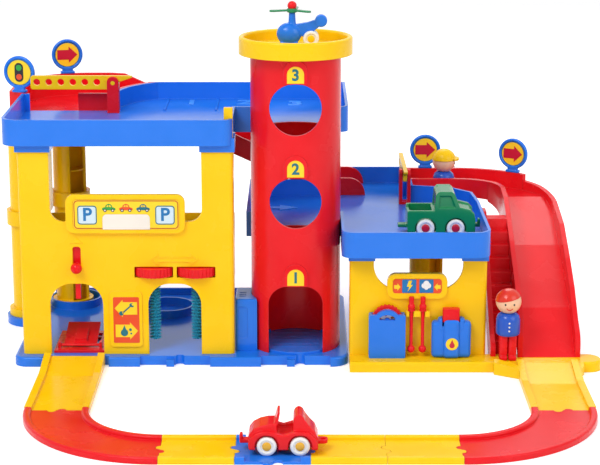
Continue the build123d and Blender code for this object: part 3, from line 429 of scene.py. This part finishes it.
ink = {
    "yellow": mouldedPlastic("printYellow", (1.0, 0.68, 0.015), roughness=0.3, variation=0.02),
    "rim": mouldedPlastic("printAmber", (0.58, 0.11, 0.004), roughness=0.3, variation=0.03),
    "teal": mouldedPlastic("printTeal", (0.0, 0.16, 0.22), roughness=0.3, variation=0.03),
    "sky": mouldedPlastic("printPaleBlue", (0.62, 0.78, 0.88), roughness=0.3, variation=0.02),
    "blue": mouldedPlastic("printBlue", (0.0, 0.17, 0.46), roughness=0.3, variation=0.03),
    "cream": mouldedPlastic("printCream", (0.86, 0.82, 0.74), roughness=0.35, variation=0.02),
    "orange": mouldedPlastic("printOrange", (0.80, 0.07, 0.01), roughness=0.3, variation=0.03),
    "green": mouldedPlastic("printGreen", (0.02, 0.36, 0.05), roughness=0.3, variation=0.03),
    "crimson": mouldedPlastic("printCrimson", (0.56, 0.004, 0.03), roughness=0.3, variation=0.03),
    "black": mouldedPlastic("printBlack", (0.012, 0.012, 0.014), roughness=0.35, variation=0.05),
    "white": mouldedPlastic("printWhite", (0.86, 0.86, 0.86), roughness=0.35, variation=0.02),
}


def printed(name, outlines, y, colour, thick=0.12, body="garage"):
    return piece(drawn(outlines, y, thick), name, body, ink[colour], smooth=30)


sign = {"back": -49.2, "layer": 0.13, "tile": 22.2, "tileHeight": 166.4, "left": -248.5, "right": -159.8}


def smallCar(x, z, size):
    # side view of a little car: body with a round cab, and its windows left open
    body = [(x - 8 * size, z), (x - 8 * size, z + 2.6 * size), (x - 5.6 * size, z + 3.6 * size)]
    for step in range(7):
        angle = math.pi * (1 - step / 6)
        body.append((x + 4.4 * size * math.cos(angle), z + 3.6 * size + 4.2 * size * math.sin(angle)))
    body += [(x + 6.4 * size, z + 3.2 * size), (x + 8 * size, z + 2.2 * size), (x + 8 * size, z)]
    pane = [(x - 3.1 * size, z + 3.9 * size), (x - 0.4 * size, z + 3.9 * size),
            (x - 0.4 * size, z + 6.6 * size), (x - 1.9 * size, z + 6.1 * size)]
    otherPane = [(2 * x - paneX, paneZ) for paneX, paneZ in pane]
    return [body, pane, otherPane]


def garageSign():
    y = sign["back"]
    layer = sign["layer"]
    printed("signSheet", [roundedOutline((-253.6, -132.4), (160.4, 195.6), 5)], y, "yellow")
    printed("signEdging", [roundedOutline((-252.6, -133.4), (161.4, 194.6), 4.4),
                           roundedOutline((-251.5, -134.5), (162.5, 193.5), 3.6)], y - layer, "rim")
    for count, left in enumerate((sign["left"], sign["right"])):
        across = (left, left + sign["tile"])
        up = (sign["tileHeight"], sign["tileHeight"] + sign["tile"])
        inner = ((across[0] + 1.2, across[1] - 1.2), (up[0] + 1.2, up[1] - 1.2))
        printed("parkingTile%d" % (count + 1), [roundedOutline(across, up, 3.6)], y - layer, "teal")
        printed("parkingField%d" % (count + 1), [roundedOutline(*inner, 2.6)], y - 2 * layer, "sky")
        letter = numeral("P", (sum(across) / 2, y - 3 * layer, sum(up) / 2), 21, 0.12, bold=0.55)
        piece(letter, "parkingLetter%d" % (count + 1), "garage", ink["blue"], smooth=30)
    for count, (x, colour) in enumerate(((-212.5, "green"), (-193, "orange"), (-173.5, "teal"))):
        printed("cartoonCar%d" % (count + 1), smallCar(x, 183.2, 0.95), y - layer, colour)
        wheels = [roundOutline(x - 4.4, 183, 1.9, 20), roundOutline(x + 4.4, 183, 1.9, 20)]
        printed("cartoonTyres%d" % (count + 1), wheels, y - 2 * layer, "black")
        hubs = [roundOutline(x - 4.4, 183, 1.0, 16), roundOutline(x + 4.4, 183, 1.0, 16)]
        printed("cartoonHubs%d" % (count + 1), hubs, y - 3 * layer, "white")
    printed("blankPlacard", [roundedOutline((-220, -166), (160.6, 178.5), 5, "top")], y - 2 * layer,
            "cream")


garageSign()
print("garage: sign panel done")


def bayPlaque():
    # two direction arrows between the bays, one to the repair ramp and one to the wash
    y = -47.6
    printed("plaqueSheet", [roundedOutline((-210.5, -180.5), (25, 80), 1.5)], y, "orange")
    left = arrowOutline(-195.8, 66.5, 26, 21, -1, shaft=0.72, head=0.36)
    right = arrowOutline(-195.2, 39.5, 26, 21, 1, shaft=0.72, head=0.36)
    printed("repairArrow", [left], y - sign["layer"], "yellow")
    printed("washArrow", [right], y - sign["layer"], "yellow")
    # a wrench: a bar with a forked end and a round end
    wrench = [(-200.5, 61.4), (-199.2, 60.2), (-190.2, 68.4), (-187.6, 67.9), (-186.2, 69.8),
              (-188.4, 69.9), (-189.3, 71.6), (-187.6, 72.6), (-190, 72.8), (-191.8, 71.2), (-191.5, 69.6)]
    printed("wrenchPicture", [wrench, roundOutline(-201.2, 60.6, 2.6, 18)], y - 2 * sign["layer"], "teal")
    drop = [(-198, 46.5)]
    for step in range(13):
        angle = math.radians(60 - 300 * step / 12)
        drop.append((-198 + 4.3 * math.cos(angle), 37.4 + 4.3 * math.sin(angle)))
    bubbles = [roundOutline(-191, 41, 1.7, 14), roundOutline(-190.2, 36.4, 1.1, 12)]
    printed("dropPicture", [drop] + bubbles, y - 2 * sign["layer"], "teal")


bayPlaque()


tower = {"plaqueY": -54.2, "numerals": (("1", 94.0), ("2", 221.1), ("3", 328.1)), "tall": 20.5}


def towerNumbers():
    for text, bottom in tower["numerals"]:
        sheet = roundedOutline((-9.6, 9.6), (bottom + 1.2, bottom + tower["tall"]), 9.4, "top", 10)
        printed("levelSheet" + text, [sheet], tower["plaqueY"], "yellow")
        figure = numeral(text, (0, tower["plaqueY"] - 0.2, bottom + 10.2), 17.5, 0.14, bold=0.6)
        piece(figure, "levelNumber" + text, "garage", ink["teal"], smooth=30)


towerNumbers()


def stationSign():
    y = -54.2
    printed("stationSheet", [roundedOutline((111.6, 167.4), (86.5, 103.5), 3.4)], y, "orange")
    for count, left in enumerate((122.0, 141.7)):
        printed("serviceTile%d" % (count + 1), [roundedOutline((left, left + 16.3), (87, 103), 1.2)],
                y - sign["layer"], "blue")
    flash = [(129.6, 101.6), (133.6, 101.6), (131.8, 96.6), (134.4, 96.6), (128.4, 88.4), (130.2, 94.2),
             (127.4, 94.2)]
    printed("flashPicture", [flash], y - 2 * sign["layer"], "yellow")
    puffs = [roundOutline(147.4, 95.6, 3.2, 18), roundOutline(152.2, 95.6, 3.2, 18),
             roundOutline(149.8, 98.2, 3.4, 18), roundOutline(149.8, 93.4, 2.6, 18)]
    for count, puff in enumerate(puffs):
        printed("airPuff%d" % (count + 1), [puff], y - 2 * sign["layer"] - 0.02 * count, "white")
    for count, (x, way) in enumerate(((116.6, 1), (162.6, -1))):
        printed("sideArrow%d" % (count + 1), [arrowOutline(x, 94, 7.4, 9, way)], y - sign["layer"],
                "yellow")


stationSign()
print("garage: stickers done")


# ---- raised arrows and deck figures; those on the decks are a little lighter, so that they can be read

def embossed():
    up = [(-258.6, 143.4), (-251, 150.6), (-243.4, 143.4)]
    piece(bevelled(drawn([up], -45.9, 0.8), 0.3), "leverArrow", "garage", finish["yellow"])
    arrow = [(-167, 124.4), (-157, 131.6), (-157, 127.8), (-121, 127.8), (-121, 131.6), (-111, 124.4),
             (-121, 117.2), (-121, 121), (-157, 121), (-157, 117.2)]
    rim = [(-164.2, 124.4), (-158.6, 128.4), (-158.6, 126.4), (-119.4, 126.4), (-119.4, 128.4),
           (-113.8, 124.4), (-119.4, 120.4), (-119.4, 122.4), (-158.6, 122.4), (-158.6, 120.4)]
    double = drawn([arrow, rim], -45.9, 0.7)
    piece(double, "wheelArrow", "garage", finish["yellow"])
    for text, x, y in (("1", -130, 181), ("2", -63.5, 181), ("3", -1, 174)):
        figure = numeral(text, (x, y, 267.25), 42, 0.9, (0, 0, 0), bold=0.9)
        piece(figure, "deckNumber" + text, "garage", finish["raised"])
    for count, (x, y) in enumerate(((-250, 40), (-20, 140))):
        turn = drawn([arrowOutline(0, 0, 44, 26, 1, shaft=0.4)], 0, 0.9)
        place(turn, (x, y, 267.35 if count == 0 else 141.85), (-90, 0, 0))
        piece(turn, "deckArrow%d" % (count + 1), "garage", finish["raised"])


embossed()
print("garage: raised figures done")


# ---- round signs on their feet

roadSign = {
    "spots": {"sign_traffic_light": ((-336.3, 134.3, 288), -15), "sign_arrow_1": ((-295.7, 280.0, 288), 15),
              "sign_arrow_2": ((169, 285.1, 162), 0), "sign_arrow_3": ((281.3, 258.3, 162), -30)},
    "middle": 24.5, "face": 15.9,
}


def signDisc():
    rings = [(0, 2.5), (18.2, 2.5), (19.4, 2.0), (20, 0.9), (20, -0.9), (19.5, -1.9), (18.6, -2.4),
             (17.6, -2.4), (16.9, -2.0), (16.3, -1.2), (16.2, -1.0), (0, -1.0)]
    disc = place(turned([(radius, -height) for radius, height in rings], 64), (0, 0, 0), (90, 0, 0))
    place(disc, (0, 0, roadSign["middle"]))
    neck = block((-7, 7), (-2.5, 2.5), (1, 9), 1.0)
    foot = block((-9, 9), (-3.5, 3.5), (0, 3.4), 1.0)
    return joined(disc, neck, foot)


def roadSigns():
    pattern = signDisc()
    middle = roadSign["middle"]
    for node, (spot, turn) in roadSign["spots"].items():
        short = "light" if node.endswith("light") else "arrow" + node[-1]
        frameDisc = place(duplicated(pattern), spot, (0, 0, turn))
        piece(frameDisc, short + "Sign", "garage", finish["blue"])
        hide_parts(node)
        art = [("Field", [roundOutline(0, middle, roadSign["face"], 56)], -1.0, "yellow"),
               ("Ring", [roundOutline(0, middle, 15.9, 56), roundOutline(0, middle, 15.1, 56)], -1.13,
                "teal")]
        if short == "light":
            art += [("Case", [roundedOutline((-5.6, 5.6), (middle - 11.6, middle + 11.6), 5.4)], -1.26,
                     "black"),
                    ("Green", [roundOutline(0, middle + 5.6, 3.7, 24)], -1.39, "green"),
                    ("Red", [roundOutline(0, middle - 5.6, 3.7, 24)], -1.39, "orange")]
        else:
            art += [("Arrow", [arrowOutline(0, middle, 26, 21, 1, shaft=0.6, head=0.43)], -1.26, "crimson")]
        for part, outlines, y, colour in art:
            layer = place(drawn(outlines, y, 0.12), spot, (0, 0, turn))
            piece(layer, short + part, "garage", ink[colour], smooth=30)
    bpy.data.objects.remove(pattern)


roadSigns()
print("garage: road signs done")


# ---- wheels shared by the vehicles

wheel = {"sides": 48, "width": 5.0, "hub": 0.46, "axle": 1.6}


def tyre(radius, way):
    half = wheel["width"] / 2
    rings = [(0, -half), (radius - 1.4, -half), (radius - 0.4, -half + 0.6), (radius, -0.8), (radius, 0.8),
             (radius - 0.4, half - 0.7), (radius - 1.6, half), (radius * 0.68, half),
             (radius * 0.62, half - 0.6), (radius * 0.59, half - 1.3), (0, half - 1.3)]
    return place(turned(rings, wheel["sides"]), (0, 0, 0), (90 if way < 0 else -90, 0, 0))


def hub(radius, way):
    half = wheel["width"] / 2
    rings = [(0, half - 1.6), (radius, half - 1.6), (radius, half - 0.9), (radius * 0.86, half - 0.3),
             (radius * 0.5, half), (0, half + 0.1)]
    return place(turned(rings, 32), (0, 0, 0), (90 if way < 0 else -90, 0, 0))


def wheelPair(name, node, body, spot, radius, outer, hubFinish):
    # two tyres on one axle, with domed hubs in a second colour
    x, y, z = spot
    axle = place(turned([(wheel["axle"], -outer + 3), (wheel["axle"], outer - 3)], 20), (0, 0, 0),
                 (90, 0, 0))
    rims = [place(axle, spot)]
    hubs = []
    for way in (-1, 1):
        side = y + way * (outer - wheel["width"] / 2)
        rims.append(place(tyre(radius, way), (x, side, z)))
        hubs.append(place(hub(radius * wheel["hub"], way), (x, side, z)))
    tyres = piece(joined(*rims), name + "Tyres", body, finish["white"], 40)
    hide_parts(node)
    piece(joined(*hubs), name + "Hubs", body, hubFinish, smooth=50)


def cut(obj, *tools):
    for tool in tools:
        modifier = obj.modifiers.new("opening", "BOOLEAN")
        modifier.operation = "DIFFERENCE"
        modifier.object = tool
        applyAll(obj)
        bpy.data.objects.remove(tool)
    return obj


def arcOver(x, z, radius, bottom, steps=14):
    # the line over a wheel from right to left, ending at the bottom edge
    start = math.asin((bottom - z) / radius)
    turns = [start + (math.pi - 2 * start) * step / steps for step in range(steps + 1)]
    return [(x + radius * math.cos(turn), z + radius * math.sin(turn)) for turn in turns]


def slab(outline, middle, near, far, edge=1.5):
    # an outline given thickness between two distances from the middle
    return bevelled(drawn([outline], middle - near, far - near), edge, 3)


# ---- red racing car on the front track

car = {"y": -339.5, "wheels": (-28.3, 5.0), "wheelZ": 13.05, "radius": 10.0, "half": 20.5, "guard": 12.0,
       "crown": 14.6, "flank": (14.0, 20.7), "voxel": 0.6, "rounds": 5}


def redCar():
    y = car["y"]
    crown = [(-46.5, 10), (-47.4, 17), (-46, 24), (-42, 29), (-35, 32.6), (-27, 34.4), (-18.5, 34.6),
             (-17.5, 22.5), (-2.5, 22.5), (-1.5, 40), (0.5, 43.5), (4, 45), (7.5, 43.4), (10.5, 38),
             (15, 32), (20, 27), (23, 20), (23.5, 10)]
    shapes = [slab(crown, y, -car["crown"], car["crown"], 2.6)]
    front, rear = car["wheels"]
    z = car["wheelZ"]
    flank = [(23.2, 9.6)] + arcOver(rear, z, car["guard"], 9.6) + arcOver(front, z, car["guard"], 9.6)
    flank += [(-46.4, 9.6), (-47, 16), (-44.4, 22), (-39.5, 26.3), (-33, 28.6), (-25, 28.7), (-18, 26.6),
              (-11.6, 24.6), (-5, 26.6), (1, 28.6), (9, 28.6), (15, 26.4), (20, 21.6), (22.8, 16)]
    inside, outside = car["flank"]
    for near, far in ((inside, outside), (-outside, -inside)):
        shapes.append(slab(flank, y, near, far, 1.6))
    screen = [(-21.6, 32), (-17.4, 45.8), (-15.0, 45.8), (-17.6, 32)]
    shapes.append(slab(screen, y, -12.5, 12.5, 0.7))
    shapes.append(block((-56, -44), (y - 4, y + 4), (11, 15.6), 1))
    shapes.append(block((-56, -52.6), (y - 4, y + 4), (11, 21), 1.2))
    plate = drawn([roundedOutline((18, 33), (-6, 6), 4.5), roundOutline(28, 0, 2.8, 24)], 0, 4)
    shapes.append(place(plate, (0, y, 11), (-90, 0, 0)))
    whole = softened(joined(*shapes), car["voxel"], car["rounds"])
    piece(whole, "redCar", "car", finish["red"], 50)
    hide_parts("car_body")
    wheelPair("carFront", "car_front_wheels", "car_front", (front, y, z), car["radius"], car["half"],
              finish["gold"])
    wheelPair("carRear", "car_rear_wheels", "car_rear", (rear, y, z), car["radius"], car["half"],
              finish["gold"])


redCar()
print("garage: red car done")


# ---- green pickup on the middle deck

pickup = {"y": 12.0, "floor": 141.5, "wheels": (151.0, 186.0), "wheelZ": 152.05, "radius": 10.5,
          "half": 21.5, "guard": 12.4, "voxel": 0.6, "rounds": 8}


def greenPickup():
    y = pickup["y"]
    floor = pickup["floor"]
    rear, front = pickup["wheels"]
    z = pickup["wheelZ"]
    low = floor + 6
    side = [(208.6, low)] + arcOver(front, z, pickup["guard"], low) + arcOver(rear, z, pickup["guard"], low)
    side += [(129.8, low), (129.6, floor + 30), (131, floor + 31.6), (161, floor + 31.6),
             (162.5, floor + 50), (166, floor + 54), (181, floor + 54), (184.6, floor + 51),
             (190.5, floor + 35.5), (203, floor + 32.4), (207.6, floor + 28), (208.8, floor + 20)]
    belly = [(208.4, low), (129.8, low), (129.8, floor + 29), (160, floor + 31), (190, floor + 34),
             (203, floor + 31), (208.4, floor + 22)]
    shapes = [slab(belly, y, -16, 16, 1)]
    for near, far in ((-21.8, -15), (15, 21.8)):
        shapes.append(slab(side, y, near, far, 2.3))
    roof = [(162, floor + 30), (162.5, floor + 50), (166, floor + 53.8), (181, floor + 53.8),
            (184.6, floor + 50.8), (190.5, floor + 34)]
    shapes.append(slab(roof, y, -19, 19, 3))
    shapes.append(block((119.5, 131), (y - 6, y + 6), (floor + 8, floor + 12), 1))
    shapes.append(block((207, 216), (y - 4, y + 4), (floor + 8, floor + 12.6), 1))
    shapes.append(block((213, 216), (y - 4, y + 4), (floor + 8, floor + 18), 1))
    whole = skinned(joined(*shapes), pickup["voxel"])
    bed = block((133, 158.4), (y - 18, y + 18), (floor + 16, floor + 60), 2)
    pane = [(166.4, floor + 35), (166.8, floor + 49), (180, floor + 49), (185.4, floor + 35)]
    panes = [slab(pane, y, 19.9, 30, 0.4), slab(pane, y, -30, -19.9, 0.4)]
    whole = softened(cut(whole, bed, *panes), pickup["voxel"], pickup["rounds"])
    piece(whole, "greenPickup", "truck", finish["green"], 50)
    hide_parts("truck_body")
    wheelPair("pickupFront", "truck_front_wheels", "truck_front", (front, y, z), pickup["radius"],
              pickup["half"], ink["crimson"])
    wheelPair("pickupRear", "truck_rear_wheels", "truck_rear", (rear, y, z), pickup["radius"],
              pickup["half"], ink["crimson"])


greenPickup()
print("garage: pickup done")


# ---- helicopter on the landing pad

copter = {"floor": 364.0, "mast": -4.0, "rotorZ": 405.0, "wheelX": 17.5, "wheelZ": 373.15, "radius": 9.1,
          "half": 9.0, "ball": 5.3, "blades": 3, "reach": 27, "firstBlade": 80}


def roundBall(spot, radius, stretch=(1, 1, 1), sides=48):
    clearSelection()
    bpy.ops.mesh.primitive_uv_sphere_add(segments=sides, ring_count=sides // 2, radius=radius * mm)
    return place(bpy.context.object, spot, (0, 0, 0), stretch)


def helicopter():
    floor = copter["floor"]
    mast = copter["mast"]
    cabin = roundBall((-7.4, 0, floor + 14), 14.3, (1, 0.76, 0.9))
    skid = block((-18, 3), (-7.6, 7.6), (floor + 0.3, floor + 6), 2)
    tail = [(0, floor + 11), (0, floor + 25), (14, floor + 27.4), (25, floor + 31), (31, floor + 31),
            (30, floor + 25), (14, floor + 11.5)]
    boom = slab(tail, 0, -4, 4, 1.6)
    tailDisc = place(turned([(6.2, -4.4), (7, -3.6), (7, 3.6), (6.2, 4.4)], 40), (29, 0, floor + 29),
                     (90, 0, 0))
    wheelArm = place(turned([(5, -4), (5, 4)], 32), (copter["wheelX"], 0, floor + 12), (90, 0, 0))
    post = place(turned([(5.4, floor + 22), (4.2, floor + 28), (3.6, copter["rotorZ"] - 3)], 32),
                 (mast, 0, 0))
    pin = place(turned([(2.2, copter["rotorZ"] - 4), (2.2, copter["rotorZ"] + 4)], 24), (mast, 0, 0))
    whole = softened(joined(cabin, skid, boom, tailDisc, wheelArm, post, pin), 0.5, 5)
    piece(whole, "helicopterBody", "helicopter", finish["blue"], 50)
    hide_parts("helicopter_body")
    shapes = [place(turned([(5.4, -2.5), (6, -1.8), (6, 1.2), (5.2, 2)], 36), (0, 0, 0))]
    for count in range(copter["blades"]):
        blade = drawn([roundedOutline((3, copter["reach"]), (-3.2, 3.2), 3)], 0, 2)
        blade = place(blade, (0, 0, -1), (-90, 0, 0))
        shapes.append(place(bevelled(blade, 0.5), (0, 0, 0),
                            (0, 0, copter["firstBlade"] + 360 / copter["blades"] * count)))
    rotor = place(joined(*shapes), (mast, 0, copter["rotorZ"]))
    piece(rotor, "rotorBlades", "rotor", finish["green"])
    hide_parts("helicopter_rotor")
    piece(roundBall((mast, 0, copter["rotorZ"] + 5), copter["ball"]), "rotorBall", "rotor", finish["red"],
          smooth=60)
    wheelPair("copter", "helicopter_wheels", "copter_wheels", (copter["wheelX"], 0, copter["wheelZ"]),
              copter["radius"], copter["half"], finish["yellow"])


helicopter()
print("garage: helicopter done")


# ---- two play figures

doll = {"coat": 13.9, "tall": 26.0, "head": 14.5, "helmetSeat": (190.0, 236.0, 142.5), "standing": 30.0,
        "helmet": 15.6, "hair": 15.0, "buttons": (7, 11.6, 16.2)}


def dollCoat(spot):
    radius = doll["coat"]
    rings = [(0, 0), (radius - 1.5, 0), (radius - 0.3, 1.2), (radius, 4), (radius - 0.2, 18),
             (radius - 1.6, 22.4), (radius - 4.4, 25.2), (radius - 7, 26), (0, 26)]
    return place(turned(rings, 56), spot)


def dollFace(name, body, spot, turn):
    # dot eyes and a small smile, on whichever side the figure looks to
    eyes = [roundBall((x, -13.2, 1.2), 1.25, (1, 0.7, 1.15), 16) for x in (-4.8, 4.8)]
    smile = []
    for step in range(11):
        angle = math.radians(205 + 13 * step)
        smile.append((4.2 * math.cos(angle), -1.6 + 4.2 * math.sin(angle)))
    for step in range(11):
        angle = math.radians(335 - 13 * step)
        smile.append((3.7 * math.cos(angle), -1.2 + 3.8 * math.sin(angle)))
    mouth = drawn([smile], -12.8, 0.75)
    piece(place(joined(*eyes), spot, (0, 0, turn)), name + "Eyes", body, ink["black"], smooth=60)
    piece(place(mouth, spot, (0, 0, turn)), name + "Smile", body, finish["hair"], smooth=30)


def dollButtons(name, body, spot, turn):
    dots = [roundBall((0, -doll["coat"] + 0.1, z), 1.1, (1, 0.6, 1), 16) for z in doll["buttons"]]
    piece(place(joined(*dots), spot, (0, 0, turn)), name + "Buttons", body, ink["white"], smooth=60)


def helmetFigure():
    seat = doll["helmetSeat"]
    x, y, z = seat
    headZ = z + doll["tall"] + doll["head"] - 1.5
    legs = []
    for near in (y - 9.4, y + 1.1):
        legs.append(block((x - 8, x + 25.8), (near, near + 8.3), (z - 0.9, z + 9), 2.4, 4))
    coat = joined(dollCoat(seat), *legs)
    piece(coat, "helmetFigureCoat", "helmet_figure", finish["coat"], 45)
    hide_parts("figure_helmet")
    piece(roundBall((x, y, headZ), doll["head"]), "helmetFigureHead", "helmet_figure", finish["skin"],
          smooth=60)
    shell = roundBall((x, y, headZ + 0.5), doll["helmet"], sides=56)
    shell = cut(shell, block((x - 30, x + 30), (y - 30, y + 30), (headZ - 30, headZ + 2), 0.2))
    peak = drawn([roundedOutline((x + 4, x + 19.2), (y - 11, y + 11), 8)], 0, 2.4)
    peak = place(peak, (0, 0, headZ + 2), (-90, 0, 0))
    shell = joined(shell, bevelled(peak, 0.7))
    piece(shell, "yellowHelmet", "helmet_figure", finish["yellow"], smooth=45)
    dollFace("helmetFigure", "helmet_figure", (x, y, headZ - 3), 90)
    dollButtons("helmetFigure", "helmet_figure", seat, 90)


def redhairFigure():
    low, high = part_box("figure_redhair")
    x = (low[0] + high[0]) / 2 / mm
    y = (low[1] + high[1]) / 2 / mm
    ground = low[2] / mm
    waist = ground + doll["standing"]
    headZ = waist + doll["tall"] + doll["head"] - 1.5
    coat = dollCoat((x, y, waist))
    piece(coat, "redhairFigureCoat", "redhair_figure", finish["coat"], 45)
    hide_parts("figure_redhair")
    legs = []
    for left in (x - 9.8, x + 0.6):
        legs.append(block((left, left + 9.2), (y - 7, y + 7), (ground, waist + 1), 2.6, 4))
        legs.append(block((left, left + 9.2), (y - 9.5, y + 6), (ground, ground + 6), 2.4, 4))
    piece(joined(*legs), "redTrousers", "redhair_figure", finish["red"], smooth=45)
    piece(roundBall((x, y, headZ), doll["head"]), "redhairFigureHead", "redhair_figure", finish["skin"],
          smooth=60)
    hair = roundBall((x, y, headZ), doll["hair"], sides=56)
    fringe = place(block((-20, 20), (-24, 2), (-24, 3.5), 0.3), (x, y, headZ), (0, -12, 0))
    nape = block((x - 20, x + 20), (y - 20, y + 20), (headZ - 24, headZ - 8), 0.3)
    piece(cut(hair, fringe, nape), "redHair", "redhair_figure", finish["hair"], smooth=45)
    dollFace("redhairFigure", "redhair_figure", (x, y, headZ - 2), 0)
    dollButtons("redhairFigure", "redhair_figure", (x, y, waist), 0)


helmetFigure()
redhairFigure()
print("garage: figures done")


# ---- wash brushes of tufts, and their ridged wheels

wash = {"spots": {"left": -163.0, "right": -114.4}, "y": -33.0, "rings": 17, "tufts": 11, "core": 3.2,
        "tuft": {"root": 1.75, "tip": 0.5, "long": 4.4, "out": 4.7}, "ridges": 30, "rim": 22.35,
        "ridge": 0.6, "thick": 10.4, "shaft": 2.5, "stepsEach": 8}


def tuftedBrush(side, x):
    node = "wash_brush_" + side
    low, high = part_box(node)
    bottom = low[2] / mm
    top = high[2] / mm
    shapes = [place(turned([(wash["core"], bottom), (wash["core"], top)], 24), (x, wash["y"], 0))]
    clearSelection()
    size = wash["tuft"]
    bpy.ops.mesh.primitive_cone_add(vertices=7, radius1=size["root"] * mm, radius2=size["tip"] * mm,
                                    depth=size["long"] * mm)
    tuft = place(bpy.context.object, (0, 0, 0), (0, 90, 0))
    tuft = place(tuft, (size["out"], 0, 0))
    step = (top - bottom - 3.6) / (wash["rings"] - 1)
    for ring in range(wash["rings"]):
        for count in range(wash["tufts"]):
            turn = 360 * (count + 0.5 * (ring % 2)) / wash["tufts"]
            tip = duplicated(tuft)
            tip.rotation_euler = (0, 0, math.radians(turn))
            tip.location = Vector((x, wash["y"], bottom + 1.8 + ring * step)) * mm
            shapes.append(tip)
    bpy.data.objects.remove(tuft)
    brush = joined(*shapes)
    piece(brush, "washBrush" + side.title(), "wash_" + side, finish["brush"], 30)
    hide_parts(node)


def ridgedWheel(side, x):
    node = "wash_wheel_" + side
    low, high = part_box(node)
    top = high[2] / mm
    line = []
    steps = wash["ridges"] * wash["stepsEach"]
    for step in range(steps):
        turn = 2 * math.pi * step / steps
        radius = wash["rim"] + wash["ridge"] * math.cos(turn * wash["ridges"])
        line.append((radius * math.cos(turn), radius * math.sin(turn)))
    rim = place(drawn([line], 0, wash["thick"]), (x, wash["y"], top - wash["thick"]), (-90, 0, 0))
    shaft = place(turned([(wash["shaft"], low[2] / mm), (wash["shaft"], top - 5)], 24), (x, wash["y"], 0))
    disc = joined(bevelled(rim, 0.9, 3, 60), shaft)
    piece(disc, "washWheel" + side.title(), "wash_" + side, finish["red"], 30)
    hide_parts(node)


for side, x in wash["spots"].items():
    tuftedBrush(side, x)
    ridgedWheel(side, x)
print("garage: wash bay done")


# ---- service station: oil can with three lobes, its emblem and the face of the pump dial

can = {"across": (156.2, 201.5), "front": -69.2, "back": -52.3, "top": 59.6, "bottom": 12.2,
       "badge": (179.4, 30.0), "lobe": 17, "voxel": 0.55, "rounds": 4}


def oilCan():
    left, right = can["across"]
    side = ((left, left + can["lobe"]), (right - can["lobe"], right))
    shapes = [block(across, (can["front"] + 3.4, can["back"]), (can["bottom"], can["top"] - 4), 4.5, 5)
              for across in side]
    shapes.append(block((left + 13, right - 13), (can["front"], can["back"]),
                        (can["bottom"], can["top"] - 1), 4.5, 5))
    shapes.append(block((left + 7, right - 7), (can["front"] + 3, can["back"]),
                        (can["top"] - 16, can["top"]), 3.5, 4))
    whole = skinned(joined(*shapes), can["voxel"])
    pocket = block((168.0, 188.5), (-66.5, -55.5), (50.4, 80), 0.4)
    whole = softened(cut(whole, pocket), can["voxel"], can["rounds"])
    piece(whole, "oilCan", "garage", finish["blue"], 50)
    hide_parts("oil_can")
    x, z = can["badge"]
    printed("canBadge", [roundOutline(x, z, 7.2, 40)], can["front"] - 0.05, "yellow")
    drop = [(x, z + 5.4)]
    for step in range(13):
        angle = math.radians(50 - 280 * step / 12)
        drop.append((x + 3.1 * math.cos(angle), z - 1.6 + 3.1 * math.sin(angle)))
    printed("canDrop", [drop], can["front"] - 0.18, "crimson")


def dialFace():
    x, z, y = 105.0, 56.0, -60.0
    printed("dialSheet", [roundOutline(x, z, 13.5, 48), roundOutline(x, z, 3.4, 24)], y, "cream", 0.1,
            "dial")
    for count in range(5):
        start = 18 + 72 * count
        wedge = []
        for radius, angles in ((12.6, (0, 8, 16, 24)), (5, (24, 16, 8, 0))):
            wedge += [(x + radius * math.cos(math.radians(start + angle)),
                       z + radius * math.sin(math.radians(start + angle))) for angle in angles]
        colour = "crimson" if count % 2 else "rim"
        printed("dialWedge%d" % (count + 1), [wedge], y - 0.1, colour, 0.08, "dial")


oilCan()
dialFace()
print("garage: service station done")
